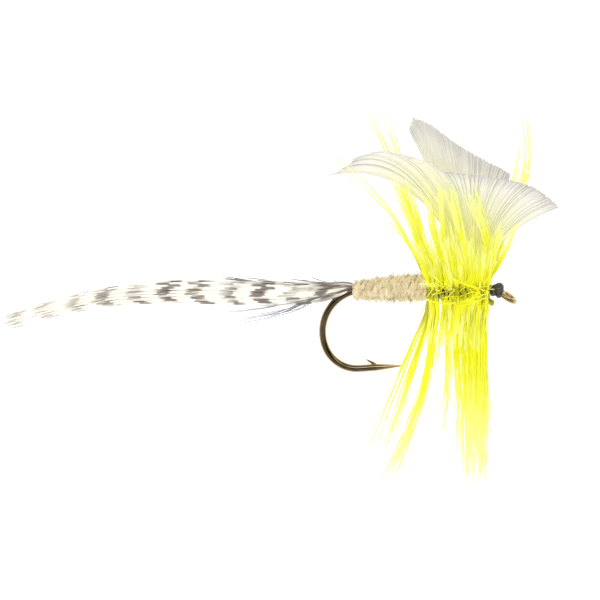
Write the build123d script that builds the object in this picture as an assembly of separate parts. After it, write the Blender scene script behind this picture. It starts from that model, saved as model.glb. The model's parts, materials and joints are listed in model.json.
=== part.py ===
from build123d import *
import math
import os

# A dry fly tied on a size 12 hook, in millimetres.
# Frame: +X runs from the tail to the hook eye, +Z is up, +Y is the far side.
# The origin is the centre of the hook eye's hole, and the hook lies in the plane y = 0.

# ---------------------------------------------------------------- driving sizes
# Hook: one piece of round wire, with a turned-down eye, a round bend, a cut barb and a needle point.
WIRE_DIA = 0.52
EYE_WIRE_DIA = 0.36
EYE_HOLE_DIA = 0.80
EYE_LAND_DEPTH = 0.02        # depth of the small flat that forging leaves inside the eye
EYE_ANGLE = 34.0             # how far the eye is turned down from the shank, degrees
NECK_LENGTH = 0.92           # from the shank's front end to the eye's centre
SHANK_LENGTH = 9.15          # the straight part of the shank
BEND_RADII = (3.05, 2.30)
BEND_TURNS = (110.0, 74.2)   # degrees of each arc; together they pass 180, so the point rises
SPEAR_STRAIGHT = 1.05        # full-thickness wire between the bend and the ground point
POINT_LENGTH = 2.08
POINT_TIP_DIA = 0.03
BARB_LENGTH = 1.0
BARB_ROOT_DIA = 0.24
BARB_ANGLE = 40.0            # how far the barb is lifted from the spear, degrees

# Thread: flat black tying thread.
THREAD_THICKNESS = 0.06
THREAD_WIDTH = 0.25
FIT = 0.01                   # running gap between a bound piece and what is wound over it
BINDING_BACK = 1.15          # how far the thread base follows the bend, along X

# Tail: barred flank barbs, with a few soft slate barbs under them.
TAIL_LENGTH = 26.1
TAIL_HEIGHT = 1.75           # of the bundle, at its fullest
TAIL_DEPTH = 1.15
# The bundle's line: share of its length, and height above the tie-in.
TAIL_LINE = (
    (0.0, 0.0), (0.035, -0.12), (0.08, -0.45), (0.165, -0.75), (0.28, -0.70),
    (0.42, -0.53), (0.62, -0.70), (0.80, -1.50), (0.90, -2.20), (1.0, -3.10),
)
TAIL_ROWS = (-0.80, -0.40, 0.0, 0.40, 0.80)
TAIL_BARB_RADIUS = 0.135
TAIL_TIP_RADIUS = 0.035
TAIL_GAP = 0.08              # from the tie-in to the free fibres
BUTT_DIA = 0.10
BUTT_COUNT = 9
WISP_COUNT = 6
WISP_DIA = 0.07
WISP_LENGTH = 8.8

# Body: fur spun on thread and wound in touching turns.
BODY_OVERHANG = 0.628        # how far the fur reaches over the bend, behind the straight shank
BODY_REAR_RADIUS = 0.53
BODY_FRONT_RADIUS = 0.84
BODY_SWELL = 0.06            # how far the middle stands above a straight taper
BODY_TURNS = 13
BODY_RIDGE = 0.035           # height of each turn's ridge
BODY_RISE = 0.20             # how far the body's front axis stands above its rear axis

# Thorax, hackles and head.
THORAX_RADIUS = 0.60
HACKLE_PITCH = 0.42
HACKLE_STEM_RADIUS = 0.10
REAR_HACKLE_TURNS = 6.4
FRONT_HACKLE_TURNS = 1.0
HACKLE_LENGTH = 13.2
HACKLE_ROOT_RADIUS = 0.07
HACKLE_TIP_RADIUS = 0.025
HACKLE_CURL = 5.0            # degrees that a barb's outer half leans more than its inner half
BARBS_PER_TURN = 9
HACKLE_PARTING = 0.6         # how far the barbs crowd upwards and downwards: 0 is an even ring
HEAD_LENGTH = 1.0
HEAD_DROP = 0.07             # of the head's axis below the shank's, towards the turned-down eye
HEAD_RADIUS = 0.50
HEAD_REAR_RADIUS = 0.42
HEAD_FRONT_RADIUS = 0.33
HEAD_TURNS = 7
VARNISH = 0.035
STEM_BUTT_DIA = 0.24
STEM_BUTT_LENGTH = 0.72
STRAY_DIA = 0.09

# Wings: a pair of slips cut from a flight feather, tied upright and parted.
WING_BASE_WIDTH = 0.60
WING_THICKNESS = 0.16
WING_PARTING = 0.16          # half the gap between the two slips' mid planes at the base
WING_FLARE_RADIUS = 25.0     # each slip curves away from the other on this radius
WING_ROOT_HEIGHT = 0.30      # of the bound roots above the thorax
WING_POST_WALL = 0.10

# ---------------------------------------------------------------- places that follow from them
WIRE_R = WIRE_DIA / 2
EYE_R = EYE_HOLE_DIA / 2
EYE_WIRE_R = EYE_WIRE_DIA / 2
SIN_EYE = math.sin(math.radians(EYE_ANGLE))
COS_EYE = math.cos(math.radians(EYE_ANGLE))
SHANK_FRONT = -NECK_LENGTH * COS_EYE
SHANK_Z = NECK_LENGTH * SIN_EYE
SHANK_REAR = SHANK_FRONT - SHANK_LENGTH
BASE_R = WIRE_R + THREAD_THICKNESS
UNDERBODY_R = BASE_R + BUTT_DIA + THREAD_THICKNESS
HEAD_REAR = SHANK_FRONT - 0.52
HACKLE_FRONT = HEAD_REAR - 0.03
FRONT_HACKLE_REAR = HACKLE_FRONT - FRONT_HACKLE_TURNS * HACKLE_PITCH - 2 * HACKLE_STEM_RADIUS
WING_X = FRONT_HACKLE_REAR - WING_BASE_WIDTH / 2 - WING_POST_WALL - 0.03
REAR_HACKLE_FRONT = WING_X - WING_BASE_WIDTH / 2 - WING_POST_WALL - 0.03
REAR_HACKLE_REAR = REAR_HACKLE_FRONT - REAR_HACKLE_TURNS * HACKLE_PITCH - 2 * HACKLE_STEM_RADIUS
BODY_FRONT = REAR_HACKLE_REAR - 0.02
BODY_REAR = SHANK_REAR - BODY_OVERHANG
BODY_LENGTH = BODY_FRONT - BODY_REAR
THORAX_TOP = SHANK_Z + THORAX_RADIUS
STEM_PATH_R = THORAX_RADIUS + HACKLE_STEM_RADIUS
BUTT_RING_R = BASE_R + BUTT_DIA / 2
TAIL_Z = SHANK_Z + BUTT_RING_R
TAIL_ROOT = BODY_REAR - TAIL_GAP
WING_PIVOT_Z = THORAX_TOP + WING_ROOT_HEIGHT + 0.06 + WING_BASE_WIDTH / 2


def rod(start, end, radius, end_radius=None):
    """A straight round bar, tapered if end_radius is given."""
    start = Vector(*start)
    end = Vector(*end)
    length = (end - start).length
    place = Plane(origin=start, z_dir=end - start)
    if end_radius is None:
        return place * Cylinder(radius, length, align=(Align.CENTER, Align.CENTER, Align.MIN))
    return place * Cone(radius, end_radius, length, align=(Align.CENTER, Align.CENTER, Align.MIN))


def along_x(x0, x1, radius, z=SHANK_Z):
    """A cylinder along X between two stations."""
    return rod((x0, 0, z), (x1, 0, z), radius)


def bend_path(first_turn=None):
    """The wire's centre line from the shank's front end, back and round the bend.

    With first_turn, it stops that many degrees into the first arc.
    """
    path = Line((SHANK_FRONT, SHANK_Z), (SHANK_REAR, SHANK_Z))
    edges = [path]
    turns = BEND_TURNS if first_turn is None else (first_turn,)
    for radius, turn in zip(BEND_RADII, turns):
        edges.append(JernArc(edges[-1] @ 1, edges[-1] % 1, radius, turn))
    return Plane.XZ * Wire(edges)


def swept(path, radius):
    """A round wire of one radius along a path."""
    return sweep(Plane(origin=path @ 0, z_dir=path % 0) * Circle(radius), path=path)


def shank_drop(x):
    """The height of the wire's centre at a station on the first arc of the bend."""
    reach = SHANK_REAR - x
    if reach <= 0:
        return SHANK_Z
    return SHANK_Z - BEND_RADII[0] + math.sqrt(BEND_RADII[0] ** 2 - reach ** 2)


# ---------------------------------------------------------------- the hook
def hook():
    """The whole hook as one piece of metal."""
    path = bend_path()
    body = swept(path, WIRE_R)
    # neck and eye
    shank_front = Vector(SHANK_FRONT, 0, SHANK_Z)
    eye_side = Vector(-COS_EYE, 0, SIN_EYE) * (EYE_R + EYE_WIRE_R)
    body += Pos(*shank_front) * Sphere(WIRE_R)
    body += rod(shank_front, eye_side, WIRE_R, EYE_WIRE_R)
    ring_plane = Plane(origin=(0, 0, 0), x_dir=(-COS_EYE, 0, SIN_EYE), z_dir=(0, -1, 0))
    section = Pos(EYE_R + EYE_WIRE_R - EYE_LAND_DEPTH, 0) * Circle(EYE_WIRE_R)
    section -= Pos(EYE_R / 2, 0) * Rectangle(EYE_R, 4 * EYE_WIRE_R)
    ring = revolve(ring_plane * section, axis=Axis((0, 0, 0), (SIN_EYE, 0, COS_EYE)))
    body += ring
    body -= Plane(origin=(0, 0, 0), z_dir=(SIN_EYE, 0, COS_EYE)) * Cylinder(EYE_R, 4 * EYE_WIRE_R)
    # spear, ground point and barb
    start = path @ 1
    forward = (path % 1).normalized()
    ground = start + forward * SPEAR_STRAIGHT
    body += rod(start, ground, WIRE_R)
    body += rod(ground, ground + forward * POINT_LENGTH, WIRE_R, POINT_TIP_DIA / 2)
    lifted = forward.rotate(Axis.Y, -(180 - BARB_ANGLE))
    barb_root = ground + forward * 0.12
    body += rod(barb_root, barb_root + lifted * BARB_LENGTH, BARB_ROOT_DIA / 2, POINT_TIP_DIA / 2)
    return body


# ---------------------------------------------------------------- thread
def wound_sleeve(outline, turns, ridge, x_dir=(1, 0, 0), origin=(0, 0, 0)):
    """A body of revolution with one ridge for each turn that is wound on it.

    outline(share) gives (distance along the axis, radius) for a share from 0 to 1.
    """
    points = [(outline(0)[0], 0), outline(0)]
    for turn in range(turns):
        a, ra = points[-1]
        b, rb = outline((turn + 1) / turns)
        points += [((a + b) / 2, (ra + rb) / 2 + ridge), (b, rb)]
    points.append((points[-1][0], 0))
    profile = make_face(Polyline(*points, close=True))
    place = Plane(origin=origin, x_dir=x_dir, z_dir=(0, -1, 0))
    return revolve(place * profile, axis=Axis(origin, x_dir))


def straight_outline(x0, x1, radius):
    """An outline of one radius between two stations on the shank."""
    return lambda share: (x0 + (x1 - x0) * share, radius)


def wraps_on_shank(x0, x1, radius):
    """Touching turns of flat thread round the shank's axis."""
    turns = max(2, round((x1 - x0) / THREAD_WIDTH))
    ridge = THREAD_THICKNESS / 4
    return wound_sleeve(straight_outline(x0, x1, radius - ridge), turns, ridge, origin=(0, 0, SHANK_Z))


def base_envelope(extra=0.0):
    """The outside of the thread base, straight part and bend."""
    turn = math.degrees(math.asin(BINDING_BACK / BEND_RADII[0]))
    return swept(bend_path(turn), BASE_R + extra)


def tail_butts():
    """The tail barbs' butts, in one layer over the top of the shank."""
    step = 2 * math.degrees(math.asin((BUTT_DIA + FIT) / 2 / BUTT_RING_R))
    rods = []
    for index in range(BUTT_COUNT):
        angle = math.radians(90 + (index - (BUTT_COUNT - 1) / 2) * step)
        y = BUTT_RING_R * math.cos(angle)
        z = SHANK_Z + BUTT_RING_R * math.sin(angle)
        rods.append(rod((BODY_REAR - 0.02, y, z), (BODY_FRONT - 0.7, y, z), BUTT_DIA / 2 - FIT))
    return rods


def tail_tie_cylinder():
    """The space that the tail's tie-in wraps take up, over the bend's first degrees."""
    z = (shank_drop(BODY_REAR) + WIRE_R + SHANK_Z) / 2 + 0.05
    return along_x(BODY_REAR + 0.08, SHANK_REAR, 0.42, z)


def wing_butts():
    """The two slips' roots: each stands up beside the other and its trimmed butt runs back along the shank."""
    pieces = []
    for side in (-1, 1):
        y = side * WING_PARTING
        top = THORAX_TOP + WING_ROOT_HEIGHT
        foot = SHANK_Z + BASE_R + 0.02
        upright = Pos(WING_X, y, (foot + top) / 2) * Box(WING_BASE_WIDTH, WING_THICKNESS, top - foot)
        butt_z = foot + WING_THICKNESS / 2 - 0.02
        butt = rod((WING_X, y, butt_z), (REAR_HACKLE_REAR + 1.0, y, butt_z), WING_THICKNESS / 2 - FIT)
        pieces.append((upright + butt).solid())
    return pieces


def wing_post_wraps():
    """Thread round the feet of both wings, which holds them up."""
    length = WING_BASE_WIDTH + 2 * WING_POST_WALL
    depth = 2 * WING_PARTING + WING_THICKNESS + 2 * WING_POST_WALL
    turns = 3
    bands = []
    height = (WING_ROOT_HEIGHT - 0.04) / turns
    for turn in range(turns):
        z = THORAX_TOP + 0.03 + (turn + 0.5) * height
        band = Pos(WING_X, 0, z) * Box(length, depth, height)
        bands.append(fillet(band.edges().filter_by(Axis.Z), WING_POST_WALL))
    post = bands[0] + bands[1] + bands[2]
    inner_depth = 2 * WING_PARTING + WING_THICKNESS + FIT
    return post - Pos(WING_X, 0, THORAX_TOP) * Box(WING_BASE_WIDTH + FIT, inner_depth, 4 * WING_ROOT_HEIGHT)


# ---------------------------------------------------------------- body
def body_outline(share):
    """Distance from the body's rear and radius, for a share of its length."""
    taper = BODY_REAR_RADIUS + (BODY_FRONT_RADIUS - BODY_REAR_RADIUS) * share
    return BODY_LENGTH * share, taper + BODY_SWELL * math.sin(math.pi * share) - BODY_RIDGE


def dubbed_body(core):
    """The fur body: a tapered cigar with one ridge for each turn, hollow round what it is wound on."""
    rear = (BODY_REAR, 0, BODY_REAR_RADIUS)
    rise = (BODY_LENGTH, 0, BODY_RISE)
    fur = wound_sleeve(body_outline, BODY_TURNS, BODY_RIDGE, x_dir=rise, origin=rear)
    for piece in core:
        fur -= piece
    return fur


# ---------------------------------------------------------------- tail
def tail_curve():
    """The tail bundle's centre line: it clears the bend, runs nearly level and droops at the tip."""
    return Spline([(TAIL_ROOT - TAIL_LENGTH * share, 0, TAIL_Z + up) for share, up in TAIL_LINE])


def tail_spread(share):
    """How full the bundle is, from its pinched root to its thin tip."""
    opening = 1 - math.exp(-share * 11)
    thinning = 1 - 0.45 * max(0.0, share - 0.5) / 0.5
    return 0.16 + 0.84 * opening * thinning


def fibre(points, radii):
    """A tapered fibre through a list of points, as one closed solid."""
    sections = []
    for index, point in enumerate(points):
        before = points[max(0, index - 1)]
        after = points[min(len(points) - 1, index + 1)]
        sections.append(Plane(origin=point, z_dir=after - before) * Circle(radii[index]))
    return loft(sections, ruled=True)


def tail_barbs():
    """The barred barbs, each its own solid, in staggered rows."""
    barbs = []
    stations = (0.0, 0.035, 0.08, 0.16, 0.28, 0.42, 0.62, 0.8, 0.91, 1.0)
    line = tail_curve()
    for row, up in enumerate(TAIL_ROWS):
        across = (-0.62, 0.0, 0.62) if row % 2 else (-0.36, 0.36)
        for column, out in enumerate(across):
            length = 1.0 - 0.035 * ((row * 2 + column * 3) % 5) - 0.08 * abs(up)
            points = []
            radii = []
            for station in stations:
                share = station * length
                spread = tail_spread(share)
                off = Vector(0, out * spread * TAIL_DEPTH / 2, up * spread * TAIL_HEIGHT / 2)
                points.append(line @ share + off)
                fade = 1 - max(0.0, station - 0.6) / 0.4
                thick = TAIL_TIP_RADIUS + (TAIL_BARB_RADIUS - TAIL_TIP_RADIUS) * fade
                radii.append(min(thick, 0.14 * spread + 0.012))
            barbs.append(fibre(points, radii))
    return barbs


def tail_wisps():
    """The soft slate barbs that sag under the tail on its far side."""
    wisps = []
    for index in range(WISP_COUNT):
        sag = 0.10 + 0.14 * index
        reach = WISP_LENGTH * (1.0 - 0.06 * ((index * 2) % 5))
        points = []
        radii = []
        for station in (0.0, 0.1, 0.22, 0.45, 0.7, 1.0):
            x = TAIL_ROOT - reach * station
            z = TAIL_Z - 0.08 - 1.05 * math.sqrt(station) - (0.55 + sag) * station
            y = 0.32 + 0.07 * index + 0.45 * station
            points.append(Vector(x, y, z))
            radii.append(WISP_DIA / 2 * (1 - 0.55 * station))
        wisps.append(fibre(points, radii))
    return wisps


# ---------------------------------------------------------------- wings
def wing_solid(outline, side):
    """A wing slip: the outline cut from a thin sheet that curves outwards as it rises, with a round foot on its pivot."""
    prism = Plane.XZ * make_face(outline)
    prism = extrude(prism, amount=20, both=True)
    foot_y = side * WING_PARTING
    centre_y = side * (WING_PARTING + WING_FLARE_RADIUS)
    tube_length = 60
    outer = WING_FLARE_RADIUS + WING_THICKNESS / 2
    inner = WING_FLARE_RADIUS - WING_THICKNESS / 2
    place = Plane(origin=(WING_X - tube_length / 2, centre_y, WING_PIVOT_Z), z_dir=(1, 0, 0))
    low = (Align.CENTER, Align.CENTER, Align.MIN)
    sheet = place * (Cylinder(outer, tube_length, align=low) - Cylinder(inner, tube_length, align=low))
    near_foot = Pos(WING_X, foot_y, WING_PIVOT_Z) * Box(60, 14, 40)
    return (sheet & prism & near_foot).solid()


def foot_arc():
    """The wing's round foot, centred on the pivot."""
    half = WING_BASE_WIDTH / 2
    low = WING_PIVOT_Z - half
    return ThreePointArc((WING_X + half, WING_PIVOT_Z), (WING_X, low), (WING_X - half, WING_PIVOT_Z))


def near_wing():
    """The near slip: a wide fan, with its long point forward and its rear barbs parted and curled back."""
    half = WING_BASE_WIDTH / 2
    foot = foot_arc()
    rear = Spline(
        foot @ 1,
        (WING_X - 1.1, 3.6),
        (WING_X - 3.4, 6.4),
        (WING_X - 6.6, 8.1),
        (WING_X - 9.9, 8.5),
    )
    top = Spline(
        rear @ 1,
        (WING_X - 7.3, 9.95),
        (WING_X - 3.5, 9.6),
        (WING_X + 0.4, 8.6),
        (WING_X + 3.6, 7.9),
        (WING_X + 6.0, 6.15),
    )
    front = Spline(
        top @ 1,
        (WING_X + 4.0, 5.75),
        (WING_X + 2.3, 4.6),
        (WING_X + 0.95, 2.9),
        (WING_X + half, WING_PIVOT_Z),
    )
    return wing_solid(Wire([foot, rear, top, front]), -1)


def far_wing():
    """The far slip: upright, with its long point to the rear and its barb ends along a slanted front edge."""
    half = WING_BASE_WIDTH / 2
    foot = foot_arc()
    rear = Spline(
        foot @ 1,
        (WING_X - 0.9, 4.2),
        (WING_X - 2.5, 8.6),
        (WING_X - 4.1, 11.5),
        (WING_X - 3.9, 12.5),
    )
    top = Spline(
        rear @ 1,
        (WING_X - 2.1, 11.6),
        (WING_X - 0.8, 10.3),
        (WING_X + 0.7, 9.5),
        (WING_X + 2.5, 8.8),
    )
    front = Spline(
        top @ 1,
        (WING_X + 2.0, 6.3),
        (WING_X + 0.95, 3.6),
        (WING_X + half, WING_PIVOT_Z),
    )
    return wing_solid(Wire([foot, rear, top, front]), 1)


# ---------------------------------------------------------------- hackles
def hackle_stem(x0, turns):
    """A hackle feather's stem, wound in open turns round the thorax."""
    path = Helix(pitch=HACKLE_PITCH, height=HACKLE_PITCH * turns, radius=STEM_PATH_R)
    path = Plane(origin=(x0, 0, SHANK_Z), x_dir=(0, 0, 1), z_dir=(1, 0, 0)) * path
    start = Plane(origin=path @ 0, z_dir=path % 0)
    return sweep(start * Circle(HACKLE_STEM_RADIUS - FIT), path=path, is_frenet=True)


def hackle_lean(forward, up):
    """How far a barb leans towards the eye, degrees: forward is its share of the way along the thorax,
    up is 1 for a barb that stands straight up and -1 for one that hangs straight down."""
    rear = -28.0 - 8.0 * up
    front = 13.0 + 13.0 * up
    return rear + (front - rear) * forward


def parted(angle):
    """Crowds an angle from straight up, in degrees, towards straight up or straight down."""
    return angle - math.degrees(HACKLE_PARTING / 2 * math.sin(math.radians(2 * angle)))


def clear_of_wings(angle):
    """Turns a barb that would run along a wing to one side of it, or between the two wings.

    The angle is in degrees from straight up, and it goes on past 360 for later turns.
    """
    off = (angle + 180) % 360 - 180
    whole = angle - off
    if abs(off) < 9:
        return whole
    if abs(off) < 24:
        return whole + math.copysign(24, off)
    return angle


def hackle_barbs(x0, turns):
    """The barbs of one hackle, each its own solid standing on the stem."""
    barbs = []
    count = int(turns * BARBS_PER_TURN)
    for index in range(count):
        turned = parted(360 * (index + 0.5 + 0.3 * math.sin(index * 1.7)) / BARBS_PER_TURN)
        turned = clear_of_wings(turned)
        angle = math.radians(turned)
        radial = Vector(0, -math.sin(angle), math.cos(angle))
        x = x0 + HACKLE_PITCH * turned / 360
        forward = (x - REAR_HACKLE_REAR) / (HACKLE_FRONT - REAR_HACKLE_REAR)
        lean = hackle_lean(forward, radial.Z)
        length = HACKLE_LENGTH * (0.86 + 0.14 * math.sin(index * 2.4)) * (0.80 + 0.20 * abs(radial.Z))
        points = [Vector(x, 0, SHANK_Z) + radial * (STEM_PATH_R + HACKLE_STEM_RADIUS - FIT)]
        for part in (lean - HACKLE_CURL / 2, lean + math.copysign(HACKLE_CURL / 2, lean)):
            away = radial * math.cos(math.radians(part)) + Vector(1, 0, 0) * math.sin(math.radians(part))
            points.append(points[-1] + away * length / 2)
        middle = (HACKLE_ROOT_RADIUS + HACKLE_TIP_RADIUS) / 2
        barbs.append(fibre(points, (HACKLE_ROOT_RADIUS, middle, HACKLE_TIP_RADIUS)))
    return barbs


def stray_barbs():
    """Three loose barbs that the head wraps have trapped across the near side of the hackle."""
    routes = (
        ((BODY_FRONT + 0.05, -0.86, -0.02), (BODY_FRONT + 1.9, -0.98, -0.30), (HEAD_REAR, -0.50, 0.36)),
        ((BODY_FRONT + 1.8, -0.92, 1.42), (BODY_FRONT + 3.1, -1.04, 0.82), (HEAD_REAR - 0.05, -0.56, 0.24)),
        ((BODY_FRONT + 2.4, -0.80, -0.80), (BODY_FRONT + 3.4, -0.92, -0.36), (HEAD_REAR - 0.05, -0.58, 0.02)),
    )
    strays = []
    for start, middle, end in routes:
        path = ThreePointArc(start, middle, end)
        strays.append(swept(path, STRAY_DIA / 2))
    return strays


def hackle_stem_butts():
    """The trimmed ends of the two hackle stems, under the head."""
    butts = []
    for side in (-1, 1):
        y = side * (STEM_BUTT_DIA / 2 + FIT)
        start = Vector(HEAD_REAR - 0.10, y, SHANK_Z - THORAX_RADIUS + 0.02)
        slope = math.radians(-36 - 8 * side)
        end = start + Vector(math.cos(slope), 0, math.sin(slope)) * STEM_BUTT_LENGTH
        butts.append(rod(start, end, STEM_BUTT_DIA / 2))
    return butts


# ---------------------------------------------------------------- head
def head_outline(extra):
    """The head's outline: fullest just behind the eye."""

    def outline(share):
        swell = math.sin(math.pi * min(1.0, share * 1.05)) ** 0.8
        ends = HEAD_REAR_RADIUS + (HEAD_FRONT_RADIUS - HEAD_REAR_RADIUS) * share
        return HEAD_REAR - extra + (HEAD_LENGTH + 2 * extra) * share, ends + (HEAD_RADIUS - ends) * swell + extra

    return outline


def head(extra=0.0):
    """The head's outside, or a skin's outside that stands a little proud of it."""
    return wound_sleeve(head_outline(extra), HEAD_TURNS, THREAD_THICKNESS / 3, origin=(0, 0, SHANK_Z - HEAD_DROP))


# ---------------------------------------------------------------- the whole fly
def build():
    """Every piece by its name."""
    metal = hook()
    base = base_envelope() & along_x(SHANK_REAR - BINDING_BACK, SHANK_FRONT - 0.02, 4, SHANK_Z)
    thread_base = base - metal
    butts = tail_butts()
    underbody_envelope = wraps_on_shank(SHANK_REAR, BODY_FRONT, UNDERBODY_R)
    tie_envelope = tail_tie_cylinder()
    thorax_envelope = wraps_on_shank(BODY_FRONT, HEAD_REAR, THORAX_RADIUS)
    roots = wing_butts()
    underbody = underbody_envelope - base
    tie = tie_envelope - base - metal
    for butt in butts:
        underbody -= butt
        tie -= butt
    thorax = thorax_envelope - base
    for root in roots:
        thorax -= root
    stubs = hackle_stem_butts()
    for stub in stubs:
        thorax -= stub
    head_outer = head()
    head_wraps = head_outer - metal - base
    for stub in stubs:
        head_wraps -= stub
    varnish = head(VARNISH) - head_outer - metal - base - thorax_envelope
    for stub in stubs:
        varnish -= stub
    return {
        "hook": [metal],
        "thread_base": [thread_base],
        "tail_butts": butts,
        "tail_tie_wraps": [tie],
        "underbody_wraps": [underbody],
        "thorax_wraps": [thorax],
        "dubbed_body": [dubbed_body([underbody_envelope, tie_envelope, base, metal] + butts)],
        "tail_barred_barbs": tail_barbs(),
        "tail_slate_barbs": tail_wisps(),
        "wing_butts": roots,
        "wing_post_wraps": [wing_post_wraps()],
        "near_wing": [near_wing()],
        "far_wing": [far_wing()],
        "rear_hackle_stem": [hackle_stem(REAR_HACKLE_REAR + HACKLE_STEM_RADIUS, REAR_HACKLE_TURNS)],
        "rear_hackle_barbs": hackle_barbs(REAR_HACKLE_REAR + HACKLE_STEM_RADIUS, REAR_HACKLE_TURNS),
        "front_hackle_stem": [hackle_stem(FRONT_HACKLE_REAR + HACKLE_STEM_RADIUS, FRONT_HACKLE_TURNS)],
        "front_hackle_barbs": hackle_barbs(FRONT_HACKLE_REAR + HACKLE_STEM_RADIUS, FRONT_HACKLE_TURNS),
        "hackle_stem_butts": stubs,
        "stray_hackle_barbs": stray_barbs(),
        "head_wraps": [head_wraps],
        "head_varnish": [varnish],
    }


def write():
    """One STEP file for each named piece or group of like pieces."""
    os.makedirs("parts", exist_ok=True)
    for name, pieces in build().items():
        solids = []
        for piece in pieces:
            solids += list(piece.solids())
        shape = solids[0] if len(solids) == 1 else Compound(children=solids)
        export_step(shape, f"parts/{name}.step")


write()
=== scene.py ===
"""A dry fly: a down-eyed hook dressed with a barred tail, fur body, parted wings, wound hackle and thread head.

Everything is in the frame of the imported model: +X runs from the tail to the hook's eye, +Z is up with the
wings, +Y is the far side, and the origin is the centre of the eye's hole. Sizes are in millimetres unless a
docstring says otherwise, and become metres when a mesh is made.
"""

import json
import logging
import math
import random
from dataclasses import dataclass
from enum import Enum
from functools import lru_cache
from typing import Callable, Iterable, Sequence

import bmesh
import bpy
import numpy as np
from mathutils import Matrix, Vector, noise

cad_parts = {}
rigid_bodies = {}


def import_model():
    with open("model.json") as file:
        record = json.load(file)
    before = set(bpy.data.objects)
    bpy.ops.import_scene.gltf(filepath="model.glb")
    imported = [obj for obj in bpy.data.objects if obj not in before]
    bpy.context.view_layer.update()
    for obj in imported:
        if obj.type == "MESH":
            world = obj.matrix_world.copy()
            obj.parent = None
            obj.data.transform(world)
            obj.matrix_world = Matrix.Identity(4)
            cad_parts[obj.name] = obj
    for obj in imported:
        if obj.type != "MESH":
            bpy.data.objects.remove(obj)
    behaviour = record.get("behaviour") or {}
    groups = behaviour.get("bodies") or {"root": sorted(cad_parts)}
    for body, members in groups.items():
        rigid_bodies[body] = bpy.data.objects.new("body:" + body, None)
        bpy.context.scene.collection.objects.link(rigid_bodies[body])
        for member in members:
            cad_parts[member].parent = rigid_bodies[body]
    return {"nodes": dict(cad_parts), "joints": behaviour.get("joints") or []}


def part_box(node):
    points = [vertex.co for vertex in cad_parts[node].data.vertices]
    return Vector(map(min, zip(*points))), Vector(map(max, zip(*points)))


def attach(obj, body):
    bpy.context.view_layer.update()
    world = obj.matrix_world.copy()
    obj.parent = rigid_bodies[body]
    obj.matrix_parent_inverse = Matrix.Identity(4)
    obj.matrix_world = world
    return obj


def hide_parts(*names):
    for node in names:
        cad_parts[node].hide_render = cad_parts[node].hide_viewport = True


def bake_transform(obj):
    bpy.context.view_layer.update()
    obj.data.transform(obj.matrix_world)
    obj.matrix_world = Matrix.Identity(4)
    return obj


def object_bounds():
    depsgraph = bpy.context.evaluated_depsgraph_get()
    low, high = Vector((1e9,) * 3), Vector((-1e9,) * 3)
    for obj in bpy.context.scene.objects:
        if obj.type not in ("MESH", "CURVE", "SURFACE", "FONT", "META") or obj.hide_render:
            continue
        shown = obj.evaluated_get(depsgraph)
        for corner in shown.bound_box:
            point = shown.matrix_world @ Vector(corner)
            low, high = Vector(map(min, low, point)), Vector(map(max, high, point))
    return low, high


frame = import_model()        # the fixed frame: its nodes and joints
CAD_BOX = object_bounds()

LOG = logging.getLogger("dry_fly")
MM = 0.001
ROOT_BODY = "tied_hook"
ACROSS = Vector((0, 1, 0))      # towards the far side

Point = Sequence[float]
Colour = tuple[float, float, float]
Shell = tuple[list[Vector], list[tuple[int, ...]]]      # points and faces


# ---------------------------------------------------------------- node graphs
class Signal:
    """One socket of a node graph, written in ordinary expressions."""

    def __init__(self, graph: "Graph", socket: bpy.types.NodeSocket) -> None:
        """Wraps a socket.

        Args:
            graph: The graph that the socket is in.
            socket: An output socket that carries a number.
        """
        self.graph = graph
        self.socket = socket

    def _maths(self, operation: str, other: "Signal | float", swapped: bool = False) -> "Signal":
        """Adds one Math node.

        Args:
            operation: The Math node's operation.
            other: The other value.
            swapped: True where the other value comes first.

        Returns:
            The node's result.
        """
        pair = (other, self) if swapped else (self, other)
        return self.graph.node("ShaderNodeMath", {"operation": operation}, {0: pair[0], 1: pair[1]})

    def __add__(self, other: "Signal | float") -> "Signal":
        """Sum."""
        return self._maths("ADD", other)

    def __radd__(self, other: float) -> "Signal":
        """Reflected sum."""
        return self._maths("ADD", other, True)

    def __sub__(self, other: "Signal | float") -> "Signal":
        """Difference."""
        return self._maths("SUBTRACT", other)

    def __rsub__(self, other: float) -> "Signal":
        """Reflected difference."""
        return self._maths("SUBTRACT", other, True)

    def __mul__(self, other: "Signal | float") -> "Signal":
        """Product."""
        return self._maths("MULTIPLY", other)

    def __rmul__(self, other: float) -> "Signal":
        """Reflected product."""
        return self._maths("MULTIPLY", other, True)

    def __pow__(self, other: "Signal | float") -> "Signal":
        """Power."""
        return self._maths("POWER", other)

    def wave(self) -> "Signal":
        """The sine of this value, moved to run from 0 to 1."""
        return self._maths("SINE", 0.0) * 0.5 + 0.5

    def step(self, low: float, high: float) -> "Signal":
        """A smooth rise from 0 to 1.

        Args:
            low: The value where the rise starts.
            high: The value where it ends.

        Returns:
            The smoothed share.
        """
        settings = {"interpolation_type": "SMOOTHSTEP"}
        sockets = {"Value": self, "From Min": low, "From Max": high}
        return self.graph.node("ShaderNodeMapRange", settings, sockets)


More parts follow.
